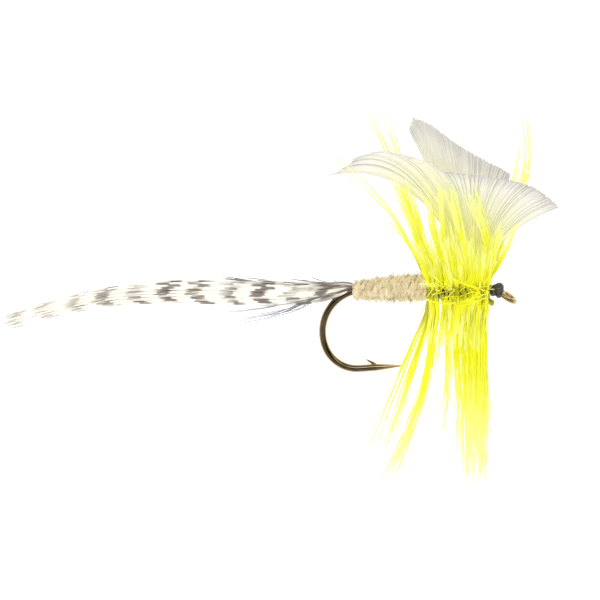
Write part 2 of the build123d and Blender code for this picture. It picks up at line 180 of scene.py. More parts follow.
class Graph:
    """A node tree, built one node at a time through one method."""

    def __init__(self, tree: bpy.types.NodeTree) -> None:
        """Wraps a tree.

        Args:
            tree: A material's, world's or geometry group's tree.
        """
        self.tree = tree

    def node(self, kind: str, settings: dict | None = None, sockets: dict | None = None,
             out: str | int = 0) -> Signal:
        """Adds a node, sets it up, then fills its sockets.

        Args:
            kind: The node's type.
            settings: Its own settings, set first.
            sockets: Values or signals for its inputs, by name or place.
            out: The output that is wanted.

        Returns:
            That output.
        """
        made = self.tree.nodes.new(kind)
        for key, value in (settings or {}).items():
            setattr(made, key, value)
        for key, value in (sockets or {}).items():
            target = made.inputs[key]
            if isinstance(value, Signal):
                self.tree.links.new(value.socket, target)
            else:
                target.default_value = value
        outputs = made.outputs
        return Signal(self, outputs[out]) if len(outputs) else Signal(self, None)

    def blend(self, share: "Signal | float", low: "Signal | Colour", high: "Signal | Colour") -> Signal:
        """Mixes two colours.

        Args:
            share: 0 gives low and 1 gives high.
            low: A colour or a signal.
            high: A colour or a signal.

        Returns:
            The mixed colour.
        """
        ends = [value if isinstance(value, Signal) else (*value, 1.0) for value in (low, high)]
        settings = {"data_type": "RGBA", "blend_type": "MIX", "clamp_factor": True}
        return self.node("ShaderNodeMix", settings, {0: share, 6: ends[0], 7: ends[1]}, out=2)

    def dot(self, one: Signal, other: Point) -> Signal:
        """The dot product of a vector signal and a fixed vector."""
        return self.node("ShaderNodeVectorMath", {"operation": "DOT_PRODUCT"}, {0: one, 1: other}, out="Value")

    def attribute(self, name: str) -> Signal:
        """A number that the mesh carries."""
        return self.node("ShaderNodeAttribute", {"attribute_name": name}, out="Fac")

    def grain(self, scale: float, detail: float = 3.0, stretch: Point = (1.0, 1.0, 1.0)) -> Signal:
        """Noise in the piece's own space, from 0 to 1.

        Args:
            scale: Features for each millimetre.
            detail: Octaves of noise.
            stretch: How much finer the noise is along X, Y and Z.

        Returns:
            The noise value.
        """
        place = self.node("ShaderNodeTexCoord", out="Object")
        per_metre = [scale / MM * share for share in stretch]
        scaled = self.node("ShaderNodeMapping", {}, {"Vector": place, "Scale": per_metre})
        return self.node("ShaderNodeTexNoise", {}, {"Vector": scaled, "Scale": 1.0, "Detail": detail}, out=0)

    def bump(self, height: Signal, depth_mm: float, strength: float = 1.0) -> Signal:
        """A bump that feeds Normal.

        Args:
            height: From 0 to 1.
            depth_mm: The height of 1.
            strength: The bump's strength.

        Returns:
            The normal.
        """
        sockets = {"Height": height, "Distance": depth_mm * MM, "Strength": strength}
        return self.node("ShaderNodeBump", {}, sockets)


# ---------------------------------------------------------------- finishes
@dataclass(frozen=True)
class Finish:
    """A finish of the fly: its name, its roughness and the shader's other constant values."""

    name: str
    roughness: float = 0.5
    constants: tuple[tuple[str, float], ...] = ()

    def material(self) -> bpy.types.Material:
        """The finish as a material, made once.

        Returns:
            The material.
        """
        found = bpy.data.materials.get(self.name)
        if found:
            return found
        made = bpy.data.materials.new(self.name)
        made.use_nodes = True
        made.node_tree.nodes.clear()
        graph = Graph(made.node_tree)
        sockets = {"Roughness": self.roughness, **dict(self.constants), **self.varied(graph)}
        shader = graph.node("ShaderNodeBsdfPrincipled", {}, sockets, out="BSDF")
        graph.node("ShaderNodeOutputMaterial", {}, {"Surface": shader})
        return made

    def varied(self, graph: Graph) -> dict[str, Signal]:
        """What changes over the surface.

        Args:
            graph: The material's graph.

        Returns:
            The shader's sockets and their signals.
        """
        raise NotImplementedError


@dataclass(frozen=True)
class BronzedWire(Finish):
    """Bronzed hook wire: a dark lacquered brown that shows gold where it is thin, with a painted reflection
    that keeps it dark where it faces the view and turns it gold towards its edges.
    """

    dark: Colour = (0.040, 0.028, 0.014)
    gold: Colour = (0.66, 0.50, 0.24)

    def varied(self, graph: Graph) -> dict[str, Signal]:
        """Thin and thick lacquer, a painted reflection that turns the wire gold towards its edges, and fine
        drawing lines.

        Args:
            graph: The material's graph.

        Returns:
            The shader's sockets and their signals.
        """
        cloud = graph.grain(1.6, 4.0)
        worn = graph.attribute("worn")
        painted_rim_highlight = graph.node("ShaderNodeLayerWeight", {}, {"Blend": 0.5}, out="Facing")
        # painted reflection: gold towards the edges where the wire turns away from the view, dark where it
        # faces it; the worn places are real thin lacquer
        share = cloud.step(0.45, 0.70) * 0.05 + worn * 0.5 + painted_rim_highlight.step(0.16, 0.55)
        lines = graph.grain(9.0, 2.0, (0.25, 1.0, 1.0))
        return {
            "Base Color": graph.blend(share, self.dark, self.gold),
            "Roughness": lines * 0.08 + 0.10,
            "Normal": graph.bump(lines, 0.002, 0.5),
        }


@dataclass(frozen=True)
class TyingThread(Finish):
    """Waxed black thread: fine twisted filaments with a dull sheen."""

    dark: Colour = (0.006, 0.006, 0.008)
    light: Colour = (0.055, 0.055, 0.065)

    def varied(self, graph: Graph) -> dict[str, Signal]:
        """Filaments along the thread.

        Args:
            graph: The material's graph.

        Returns:
            The shader's sockets and their signals.
        """
        filament = graph.grain(28.0, 2.0, (1.0, 0.35, 0.35))
        return {
            "Base Color": graph.blend(filament.step(0.35, 0.75), self.dark, self.light),
            "Roughness": filament * 0.25 + 0.30,
            "Normal": graph.bump(filament, 0.006, 0.8),
        }


@dataclass(frozen=True)
class Varnish(Finish):
    """Clear head varnish, laid on thread: glassy, with soft brush waves."""

    tint: Colour = (0.90, 0.90, 0.92)

    def varied(self, graph: Graph) -> dict[str, Signal]:
        """Slow waves where the varnish has settled.

        Args:
            graph: The material's graph.

        Returns:
            The shader's sockets and their signals.
        """
        wave = graph.grain(2.4, 2.0)
        return {
            "Base Color": graph.blend(wave, self.tint, (1.0, 1.0, 1.0)),
            "Roughness": wave * 0.05 + 0.02,
            "Normal": graph.bump(wave, 0.012, 0.6),
        }


@dataclass(frozen=True)
class BarredBarb(Finish):
    """Flank feather barbs: cream with dark bars in staggered dashes."""

    cream: Colour = (0.90, 0.85, 0.74)
    pale: Colour = (0.95, 0.93, 0.88)
    bar: Colour = (0.125, 0.100, 0.085)
    root: Colour = (0.050, 0.028, 0.010)
    period_mm: float = 2.24
    bar_share: float = 0.44
    dark_tip: float = 0.0

    def varied(self, graph: Graph) -> dict[str, Signal]:
        """Bars along each barb, staggered from barb to barb, with a dark bound root.

        Args:
            graph: The material's graph.

        Returns:
            The shader's sockets and their signals.
        """
        reach = graph.attribute("reach")
        strand = graph.attribute("strand")
        along = graph.attribute("along")
        streak = graph.grain(3.0, 3.0, (0.35, 1.0, 1.0))
        phase = (reach + strand * 1.15 + (streak - 0.5) * 0.9) * (2 * math.pi / self.period_mm)
        wave = phase.wave()
        edge = 1.0 - self.bar_share
        bars = wave.step(edge - 0.18, edge + 0.26)
        weak = (strand * 97.7 + reach * 1.1).wave().step(0.05, 0.75) * 0.60 + 0.32
        fading = 1.0 - along.step(0.50, 0.95) * 0.45
        ground = graph.blend(streak.step(0.3, 0.7), self.cream, self.pale)
        barred = graph.blend(bars * weak * fading, ground, self.bar)
        dark = (strand * 61.8 + reach * 0.5).wave().step(0.30, 0.62) * 0.72 + 0.24
        bound = (1.0 - (reach + streak * 5.0 - 2.0).step(0.6, 5.8)) * dark
        rooted = graph.blend(bound, barred, self.root)
        colour = graph.blend(along.step(0.78, 0.90) * self.dark_tip, rooted, self.bar)
        return {
            "Base Color": colour,
            # painted glow: the colour is also emitted, as strongly as the finish's emission strength sets
            "Emission Color": colour,
            "Roughness": streak * 0.2 + 0.45,
            "Normal": graph.bump(streak, 0.01, 0.5),
        }


@dataclass(frozen=True)
class DyedBarb(Finish):
    """Feather barbs of one dye, darker towards the root and pale at the tip."""

    root: Colour = (0.44, 0.42, 0.003)
    middle: Colour = (0.86, 0.86, 0.005)
    tip: Colour = (0.95, 0.97, 0.40)

    def varied(self, graph: Graph) -> dict[str, Signal]:
        """Darker towards the root and paler towards the tip along each barb, and varied from barb to barb.

        Args:
            graph: The material's graph.

        Returns:
            The shader's sockets and their signals.
        """
        along = graph.attribute("along")
        strand = graph.attribute("strand")
        mottle = graph.grain(1.1, 2.0)
        # darker towards the root, paler towards the tip
        lower = graph.blend(along.step(0.02, 0.26), self.root, self.middle)
        depth = along + (strand - 0.5) * 0.35 + (mottle - 0.5) * 0.3
        colour = graph.blend(depth.step(0.38, 0.98), lower, self.tip)
        shade = graph.blend(strand * 0.30, colour, self.root)
        return {
            "Base Color": shade,
            # painted glow: the colour is also emitted, as strongly as the finish's emission strength sets
            "Emission Color": shade,
            "Roughness": mottle * 0.15 + 0.42,
        }


@dataclass(frozen=True)
class QuillWeb(Finish):
    """The web of a pale flight feather: each barb a fine line, a little darker at its edge."""

    pale: Colour = (0.83, 0.81, 0.74)
    line: Colour = (0.70, 0.68, 0.62)
    tip: Colour = (0.60, 0.58, 0.55)
    hackle_light_tint: Colour = (0.84, 0.84, 0.42)

    def varied(self, graph: Graph) -> dict[str, Signal]:
        """Barb lines, darker barb ends and a painted yellow glow at the foot, where the yellow hackle's light
        falls through the web.

        Args:
            graph: The material's graph.

        Returns:
            The shader's sockets and their signals.
        """
        across = graph.attribute("across")
        along = graph.attribute("along")
        strand = graph.attribute("strand")
        web = graph.grain(5.0, 3.0, (1.0, 1.0, 0.4))
        edge = across.step(0.55, 1.0) * 0.55
        ground = graph.blend(edge * 0.6 + strand * 0.20, self.pale, self.line)
        ends = graph.blend(along.step(0.80, 1.0) * 0.75, ground, self.tip)
        # painted light: a yellow glow at the foot, standing in for the yellow hackle's light seen through the
        # web
        foot = graph.blend((1.0 - along.step(0.20, 0.95)) * 0.7, ends, self.hackle_light_tint)
        return {
            "Base Color": foot,
            # painted glow: the colour is also emitted, as strongly as the finish's emission strength sets
            "Emission Color": foot,
            "Roughness": web * 0.2 + 0.5,
            "Normal": graph.bump(web, 0.01, 0.4),
        }


@dataclass(frozen=True)
class Underfur(Finish):
    """Beige underfur, spun on thread: matt, with paler and darker hairs."""

    hair: Colour = (0.85, 0.70, 0.41)
    pale: Colour = (0.97, 0.91, 0.68)
    brown: Colour = (0.42, 0.27, 0.15)

    def varied(self, graph: Graph) -> dict[str, Signal]:
        """Mixed hairs that lie across the body.

        Args:
            graph: The material's graph.

        Returns:
            The shader's sockets and their signals.
        """
        lie = graph.grain(3.2, 4.0, (1.6, 0.55, 0.55))
        fleck = graph.grain(7.0, 3.0, (1.4, 0.5, 0.5))
        strand = graph.attribute("strand")
        ground = graph.blend(lie.step(0.36, 0.66), self.hair, self.pale)
        colour = graph.blend((1.0 - fleck.step(0.30, 0.50)) * 0.55, ground, self.brown)
        fur = graph.blend(strand * 0.5, colour, self.pale)
        return {
            "Base Color": fur,
            # painted glow: the colour is also emitted, as strongly as the finish's emission strength sets
            "Emission Color": fur,
            "Roughness": fleck * 0.1 + 0.85,
            "Normal": graph.bump(fleck, 0.03, 0.9),
        }


@dataclass(frozen=True)
class FloorPaint(Finish):
    """A plain pale floor."""

    tone: Colour = (0.93, 0.93, 0.93)

    def varied(self, graph: Graph) -> dict[str, Signal]:
        """A barely seen mottle.

        Args:
            graph: The material's graph.

        Returns:
            The shader's sockets and their signals.
        """
        mottle = graph.grain(0.02, 2.0)
        paint = graph.blend(mottle * 0.3, self.tone, (0.97, 0.97, 0.97))
        return {"Base Color": paint, "Emission Color": paint}


class Dress(Enum):
    """The fly's finishes."""

    BRONZE = BronzedWire("bronzed_wire", 0.2, (
        ("Metallic", 1.0), ("Coat Weight", 0.4), ("Coat Roughness", 0.06)))
    THREAD = TyingThread("tying_thread", 0.4, (("Sheen Weight", 0.2),))
    VARNISH = Varnish("head_varnish", 0.03, (("Transmission Weight", 1.0), ("IOR", 1.5)))
    # painted glow: the flank barbs emit a little of their own colour, lifting the shade among the fibres
    FLANK = BarredBarb("flank_barbs", 0.5, (("Emission Strength", 0.22), ("Sheen Weight", 0.3)))
    BROKEN = BarredBarb("broken_barbs", 0.5, (), bar=(0.09, 0.065, 0.045), dark_tip=0.95)
    GUARD = DyedBarb("guard_hairs", 0.7, (), (0.22, 0.14, 0.08), (0.34, 0.24, 0.15), (0.46, 0.36, 0.26))
    SLATE = DyedBarb("slate_barbs", 0.5, (), (0.10, 0.09, 0.08), (0.15, 0.165, 0.21), (0.34, 0.37, 0.44))
    # painted glow: the yellow barbs emit a little of their colour, lifting the shade in the hackle
    YELLOW = DyedBarb("yellow_barbs", 0.45, (("Emission Strength", 0.25), ("Sheen Weight", 0.15)))
    # painted glow: the stray barbs emit a little of their colour, lifting the shade over the thorax
    STRAY = DyedBarb("stray_barb_dye", 0.4, (("Emission Strength", 0.25),), (0.80, 0.78, 0.004),
                     tip=(0.90, 0.90, 0.02))
    QUILL = DyedBarb("hackle_quill", 0.4, (), (0.30, 0.29, 0.02), (0.45, 0.44, 0.03), (0.60, 0.58, 0.06))
    # painted glow: the web emits a little of its colour, standing in for light through the thin feather
    WEB = QuillWeb("wing_web", 0.55, (("Emission Strength", 0.14), ("Sheen Weight", 0.25)))
    # painted glow: the fur emits a little of its colour, lifting the shade among the hairs
    FUR = Underfur("dubbing_fur", 0.9, (("Emission Strength", 0.08), ("Sheen Weight", 0.3)))
    FLOOR = FloorPaint("studio_floor", 0.9, (("Emission Strength", 0.30),))

    def material(self) -> bpy.types.Material:
        """The finish's material."""
        return self.value.material()


# ---------------------------------------------------------------- strands and sweeps
@dataclass
class Strand:
    """One guide fibre: a smooth line with a thickness at each of its points."""

    points: list[Vector]
    radii: list[float]

    @classmethod
    def through(cls, places: Sequence[Point], radius: float, tip: float = 0.25, count: int = 14) -> "Strand":
        """A tapered fibre on a smooth line through a few places.

        Args:
            places: Points in millimetres.
            radius: The root's radius in millimetres.
            tip: The tip's radius as a share of the root's.
            count: Points on the finished line.

        Returns:
            The strand.
        """
        line = smooth_line([Vector(place) * MM for place in places], count)
        radii = [radius * MM * (tip + (1 - tip) * (1 - (i / (count - 1)) ** 1.6)) for i in range(count)]
        return cls(line, radii)


def smooth_line(places: Sequence[Vector], count: int) -> list[Vector]:
    """Points evenly spaced along a smooth line through given places.

    Args:
        places: Two or more places.
        count: Points that are wanted.

    Returns:
        The points.
    """
    if len(places) == 2:
        return [places[0].lerp(places[1], i / (count - 1)) for i in range(count)]
    padded = [2 * places[0] - places[1], *places, 2 * places[-1] - places[-2]]
    fine: list[Vector] = []
    steps = 16
    for i in range(1, len(padded) - 2):
        a, b, c, d = padded[i - 1:i + 3]
        for k in range(steps):
            t = k / steps
            fine.append(0.5 * (2 * b + (c - a) * t + (2 * a - 5 * b + 4 * c - d) * t * t
                               + (3 * b - a - 3 * c + d) * t ** 3))
    fine.append(places[-1].copy())
    reach = [0.0]
    for a, b in zip(fine, fine[1:]):
        reach.append(reach[-1] + (b - a).length)
    wanted = np.linspace(0, reach[-1], count)
    table = np.array(fine)
    return [Vector([np.interp(w, reach, table[:, axis]) for axis in range(3)]) for w in wanted]


def guide_object(name: str, strands: Iterable[Strand]) -> bpy.types.Object:
    """A mesh of plain edges, one run for each strand, that carries the strands' thickness.

    Args:
        name: The object's name.
        strands: The strands.

    Returns:
        The object, linked to the scene.
    """
    points: list[Vector] = []
    edges: list[tuple[int, int]] = []
    radii: list[float] = []
    for strand in strands:
        first = len(points)
        points += strand.points
        radii += strand.radii
        edges += [(first + i, first + i + 1) for i in range(len(strand.points) - 1)]
    mesh = bpy.data.meshes.new(name)
    mesh.from_pydata(points, edges, [])
    thick = mesh.attributes.new("thick", "FLOAT", "POINT")
    thick.data.foreach_set("value", radii)
    made = bpy.data.objects.new(name, mesh)
    bpy.context.scene.collection.objects.link(made)
    return made


class SweepTree:
    """A geometry tree that multiplies guide strands, frays them and sweeps each into a closed fibre.

    Spread and Fray are in metres.
    """

    INPUTS = (
        ("Copies", "NodeSocketInt", 1),
        ("Spread", "NodeSocketFloat", 0.0),
        ("Fray", "NodeSocketFloat", 0.0),
        ("Shorter", "NodeSocketFloat", 0.0),
        ("Sides", "NodeSocketInt", 5),
        ("Rings", "NodeSocketInt", 12),
        ("Seed", "NodeSocketInt", 1),
        ("Material", "NodeSocketMaterial", None),
    )

    def __init__(self) -> None:
        """Builds the tree once."""
        self.tree = bpy.data.node_groups.new("strand_sweep", "GeometryNodeTree")
        self.ids: dict[str, str] = {}
        face = self.tree.interface
        face.new_socket("Geometry", in_out="INPUT", socket_type="NodeSocketGeometry")
        for name, kind, value in self.INPUTS:
            socket = face.new_socket(name, in_out="INPUT", socket_type=kind)
            if value is not None:
                socket.default_value = value
            self.ids[name] = socket.identifier
        face.new_socket("Geometry", in_out="OUTPUT", socket_type="NodeSocketGeometry")
        self._wire()

    def _wire(self) -> None:
        """Lays out the tree's nodes."""
        g = Graph(self.tree)
        entry = self.tree.nodes.new("NodeGroupInput")

        def given(name: str) -> Signal:
            """One of the tree's inputs."""
            return Signal(g, entry.outputs[name])

        curves = g.node("GeometryNodeMeshToCurve", {}, {"Mesh": given("Geometry")})
        copies = g.node("GeometryNodeDuplicateElements", {"domain": "SPLINE"},
                        {"Geometry": curves, "Amount": given("Copies")})
        index = g.node("GeometryNodeInputIndex")
        spline = g.node("GeometryNodeFieldOnDomain", {"domain": "CURVE", "data_type": "INT"}, {"Value": index})
        chance = g.node("FunctionNodeRandomValue", {"data_type": "FLOAT"},
                        {"ID": spline, "Seed": given("Seed")}, out=1)
        toss = {"ID": spline, "Seed": given("Seed"), 0: (-1.0, -1.0, -1.0), 1: (1.0, 1.0, 1.0)}
        scatter = g.node("FunctionNodeRandomValue", {"data_type": "FLOAT_VECTOR"}, toss, out=0)
        share = g.node("GeometryNodeSplineParameter", out="Factor")
        opened = g.node("ShaderNodeVectorMath", {"operation": "SCALE"},
                        {0: scatter, "Scale": given("Spread") * (share ** 1.2 * 0.9 + 0.1)})
        where = g.node("GeometryNodeInputPosition")
        shifted = g.node("ShaderNodeVectorMath", {"operation": "MULTIPLY_ADD"},
                         {0: where, 1: (260.0, 260.0, 260.0), 2: scatter})
        swirl = g.node("ShaderNodeTexNoise", {}, {"Vector": shifted, "Scale": 1.0, "Detail": 1.0}, out="Color")
        centred = g.node("ShaderNodeVectorMath", {"operation": "SUBTRACT"}, {0: swirl, 1: (0.5, 0.5, 0.5)})
        frayed = g.node("ShaderNodeVectorMath", {"operation": "SCALE"},
                        {0: centred, "Scale": given("Fray") * share})
        offset = g.node("ShaderNodeVectorMath", {"operation": "ADD"}, {0: opened, 1: frayed})
        moved = g.node("GeometryNodeSetPosition", {}, {"Geometry": copies, "Offset": offset})
        trimmed = g.node("GeometryNodeTrimCurve", {"mode": "FACTOR"},
                         {"Curve": moved, 3: 1.0 - given("Shorter") * chance})
        rings = g.node("GeometryNodeResampleCurve", {"mode": "COUNT"},
                       {"Curve": trimmed, "Count": given("Rings")})
        held = rings
        for name, value, domain in (("along", share, "POINT"), ("strand", chance, "CURVE")):
            held = g.node("GeometryNodeStoreNamedAttribute", {"data_type": "FLOAT", "domain": domain},
                          {"Geometry": held, "Name": name, "Value": value})
        run = g.node("GeometryNodeSplineParameter", out="Length")
        held = g.node("GeometryNodeStoreNamedAttribute", {"data_type": "FLOAT", "domain": "POINT"},
                      {"Geometry": held, "Name": "reach", "Value": run * (1 / MM)})
        thick = g.node("GeometryNodeInputNamedAttribute", {"data_type": "FLOAT"}, {"Name": "thick"})
        ring = g.node("GeometryNodeCurvePrimitiveCircle", {}, {"Resolution": given("Sides"), "Radius": 1.0})
        swept = g.node("GeometryNodeCurveToMesh", {},
                       {"Curve": held, "Profile Curve": ring, "Scale": thick, "Fill Caps": True})
        real = g.node("GeometryNodeRealizeInstances", {}, {"Geometry": swept})
        dressed = g.node("GeometryNodeSetMaterial", {}, {"Geometry": real, "Material": given("Material")})
        g.node("NodeGroupOutput", {}, {0: dressed})

    def grow(self, name: str, strands: Iterable[Strand], dress: Dress, **sizes: float) -> bpy.types.Object:
        """Makes a plain mesh piece from guide strands.

        Args:
            name: The piece's name.
            strands: The guide strands.
            dress: Its finish.
            sizes: The tree's inputs, by lower-case name.

        Returns:
            The finished piece.
        """
        guide = guide_object(name + "_guide", strands)
        modifier = guide.modifiers.new("sweep", "NODES")
        modifier.node_group = self.tree
        modifier[self.ids["Material"]] = dress.material()
        for label, value in sizes.items():
            modifier[self.ids[label.capitalize()]] = value
        return settle(name, guide, dress)


def settle(name: str, source: bpy.types.Object, dress: Dress) -> bpy.types.Object:
    """Turns an object with modifiers into a plain mesh piece and removes the source.

    Args:
        name: The finished piece's name.
        source: The object to evaluate.
        dress: The piece's finish.

    Returns:
        The finished piece.
    """
    bpy.context.view_layer.update()
    graph = bpy.context.evaluated_depsgraph_get()
    mesh = bpy.data.meshes.new_from_object(source.evaluated_get(graph), depsgraph=graph)
    bpy.data.objects.remove(source)
    return piece(name, mesh, dress)


def piece(name: str, mesh: bpy.types.Mesh, dress: Dress, smooth: bool = True) -> bpy.types.Object:
    """Links a mesh as a finished piece.

    Args:
        name: The piece's name.
        mesh: Its mesh.
        dress: Its finish.
        smooth: True for smooth shading.

    Returns:
        The piece.
    """
    mesh.name = name
    mesh.materials.clear()
    mesh.materials.append(dress.material())
    mesh.polygons.foreach_set("use_smooth", [smooth] * len(mesh.polygons))
    mesh.update()
    made = bpy.data.objects.new(name, mesh)
    bpy.context.scene.collection.objects.link(made)
    return made


def skin(rings: Sequence[Sequence[Vector]], closed: bool = True) -> Shell:
    """Faces over a run of equal rings, with fanned ends.

    Args:
        rings: The rings, each a closed loop of points that turns the same way.
        closed: True to cap both ends.

    Returns:
        The points and the faces.
    """
    count = len(rings[0])
    points = [p for ring in rings for p in ring]
    faces: list[tuple[int, ...]] = []
    for r in range(len(rings) - 1):
        for k in range(count):
            a, b = r * count + k, r * count + (k + 1) % count
            faces.append((a, b, b + count, a + count))
    if closed:
        last = (len(rings) - 1) * count
        faces.append(tuple(reversed(range(count))))
        faces.append(tuple(last + k for k in range(count)))
    return points, faces


def mesh_from(name: str, points: Sequence[Vector], faces: Sequence[tuple[int, ...]]) -> bpy.types.Mesh:
    """A mesh with its normals turned outwards.

    Args:
        name: The mesh's name.
        points: Its points.
        faces: Its faces.

    Returns:
        The mesh.
    """
    mesh = bpy.data.meshes.new(name)
    mesh.from_pydata([tuple(p) for p in points], [], faces)
    work = bmesh.new()
    work.from_mesh(mesh)
    bmesh.ops.remove_doubles(work, verts=work.verts, dist=1e-8)
    bmesh.ops.recalc_face_normals(work, faces=work.faces)
    work.to_mesh(mesh)
    work.free()
    return mesh


def tube(path: Sequence[Vector], radii: Sequence[float], sides: int) -> Shell:
    """A closed tube along a path in the XZ plane.

    Args:
        path: The tube's centre line.
        radii: Its radius at each point.
        sides: Points round each ring.

    Returns:
        The points and the faces.
    """
    rings = []
    for i, centre in enumerate(path):
        ahead = (path[min(i + 1, len(path) - 1)] - path[max(i - 1, 0)]).normalized()
        side = ahead.cross(ACROSS).normalized()
        lift = side.cross(ahead).normalized()
        ring = []
        for k in range(sides):
            turn = 2 * math.pi * k / sides
            ring.append(centre + side * math.cos(turn) * radii[i] + lift * math.sin(turn) * radii[i])
        rings.append(ring)
    return skin(rings)


def join(parts: Sequence[Shell]) -> Shell:
    """Puts several shells together.

    Args:
        parts: The shells.

    Returns:
        All their points and faces.
    """
    points: list[Vector] = []
    faces: list[tuple[int, ...]] = []
    for some_points, some_faces in parts:
        first = len(points)
        points += some_points
        faces += [tuple(first + index for index in face) for face in some_faces]
    return points, faces


def ride_as(made: bpy.types.Object, body: str, slot: str, *nodes: str) -> None:
    """Puts a piece on its body and hides the CAD nodes that it replaces.

    Args:
        made: The piece.
        body: The CAD body it rides on.
        slot: The record's material slot; not used.
        nodes: The CAD nodes that it replaces.
    """
    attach(made, body)
    if nodes:
        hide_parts(*nodes)
    LOG.info("%s: %d faces, on %s", made.name, len(made.data.polygons), body)


def bend_as(made: bpy.types.Object, body: str, slot: str, start: Point, end: Point, *nodes: str) -> None:
    """Bakes a piece's place into its mesh and hides the CAD nodes that it replaces, without bending it.

    Args:
        made: The piece.
        body: The flexing body.
        slot: The record's material slot; not used.
        start: Where the bend starts, in millimetres.
        end: Where it ends, in millimetres.
        nodes: The CAD nodes that it replaces.
    """
    tuple(c * MM for c in start)
    tuple(c * MM for c in end)
    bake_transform(made)
    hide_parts(*nodes)
    LOG.info("%s: %d faces, bends to %s", made.name, len(made.data.polygons), body)


# ---------------------------------------------------------------- places read from the frame
@lru_cache(maxsize=None)
def corners_of(node: str) -> tuple[Vector, Vector]:
    """The low and high corners of a CAD node's box, in millimetres."""
    low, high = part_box(node)
    return Vector(low) / MM, Vector(high) / MM


def centre_of(node: str) -> Vector:
    """The middle of a CAD node, in millimetres."""
    low, high = corners_of(node)
    return (low + high) / 2


def span_of(node: str, axis: int = 0) -> tuple[float, float]:
    """A CAD node's lowest and highest place along an axis, in millimetres."""
    low, high = corners_of(node)
    return low[axis], high[axis]


def joint_place(name: str) -> Vector:
    """Where a joint turns, in millimetres."""
    found = next(joint for joint in frame["joints"] if joint["name"] == name)
    return Vector(found["pos_m"]) / MM


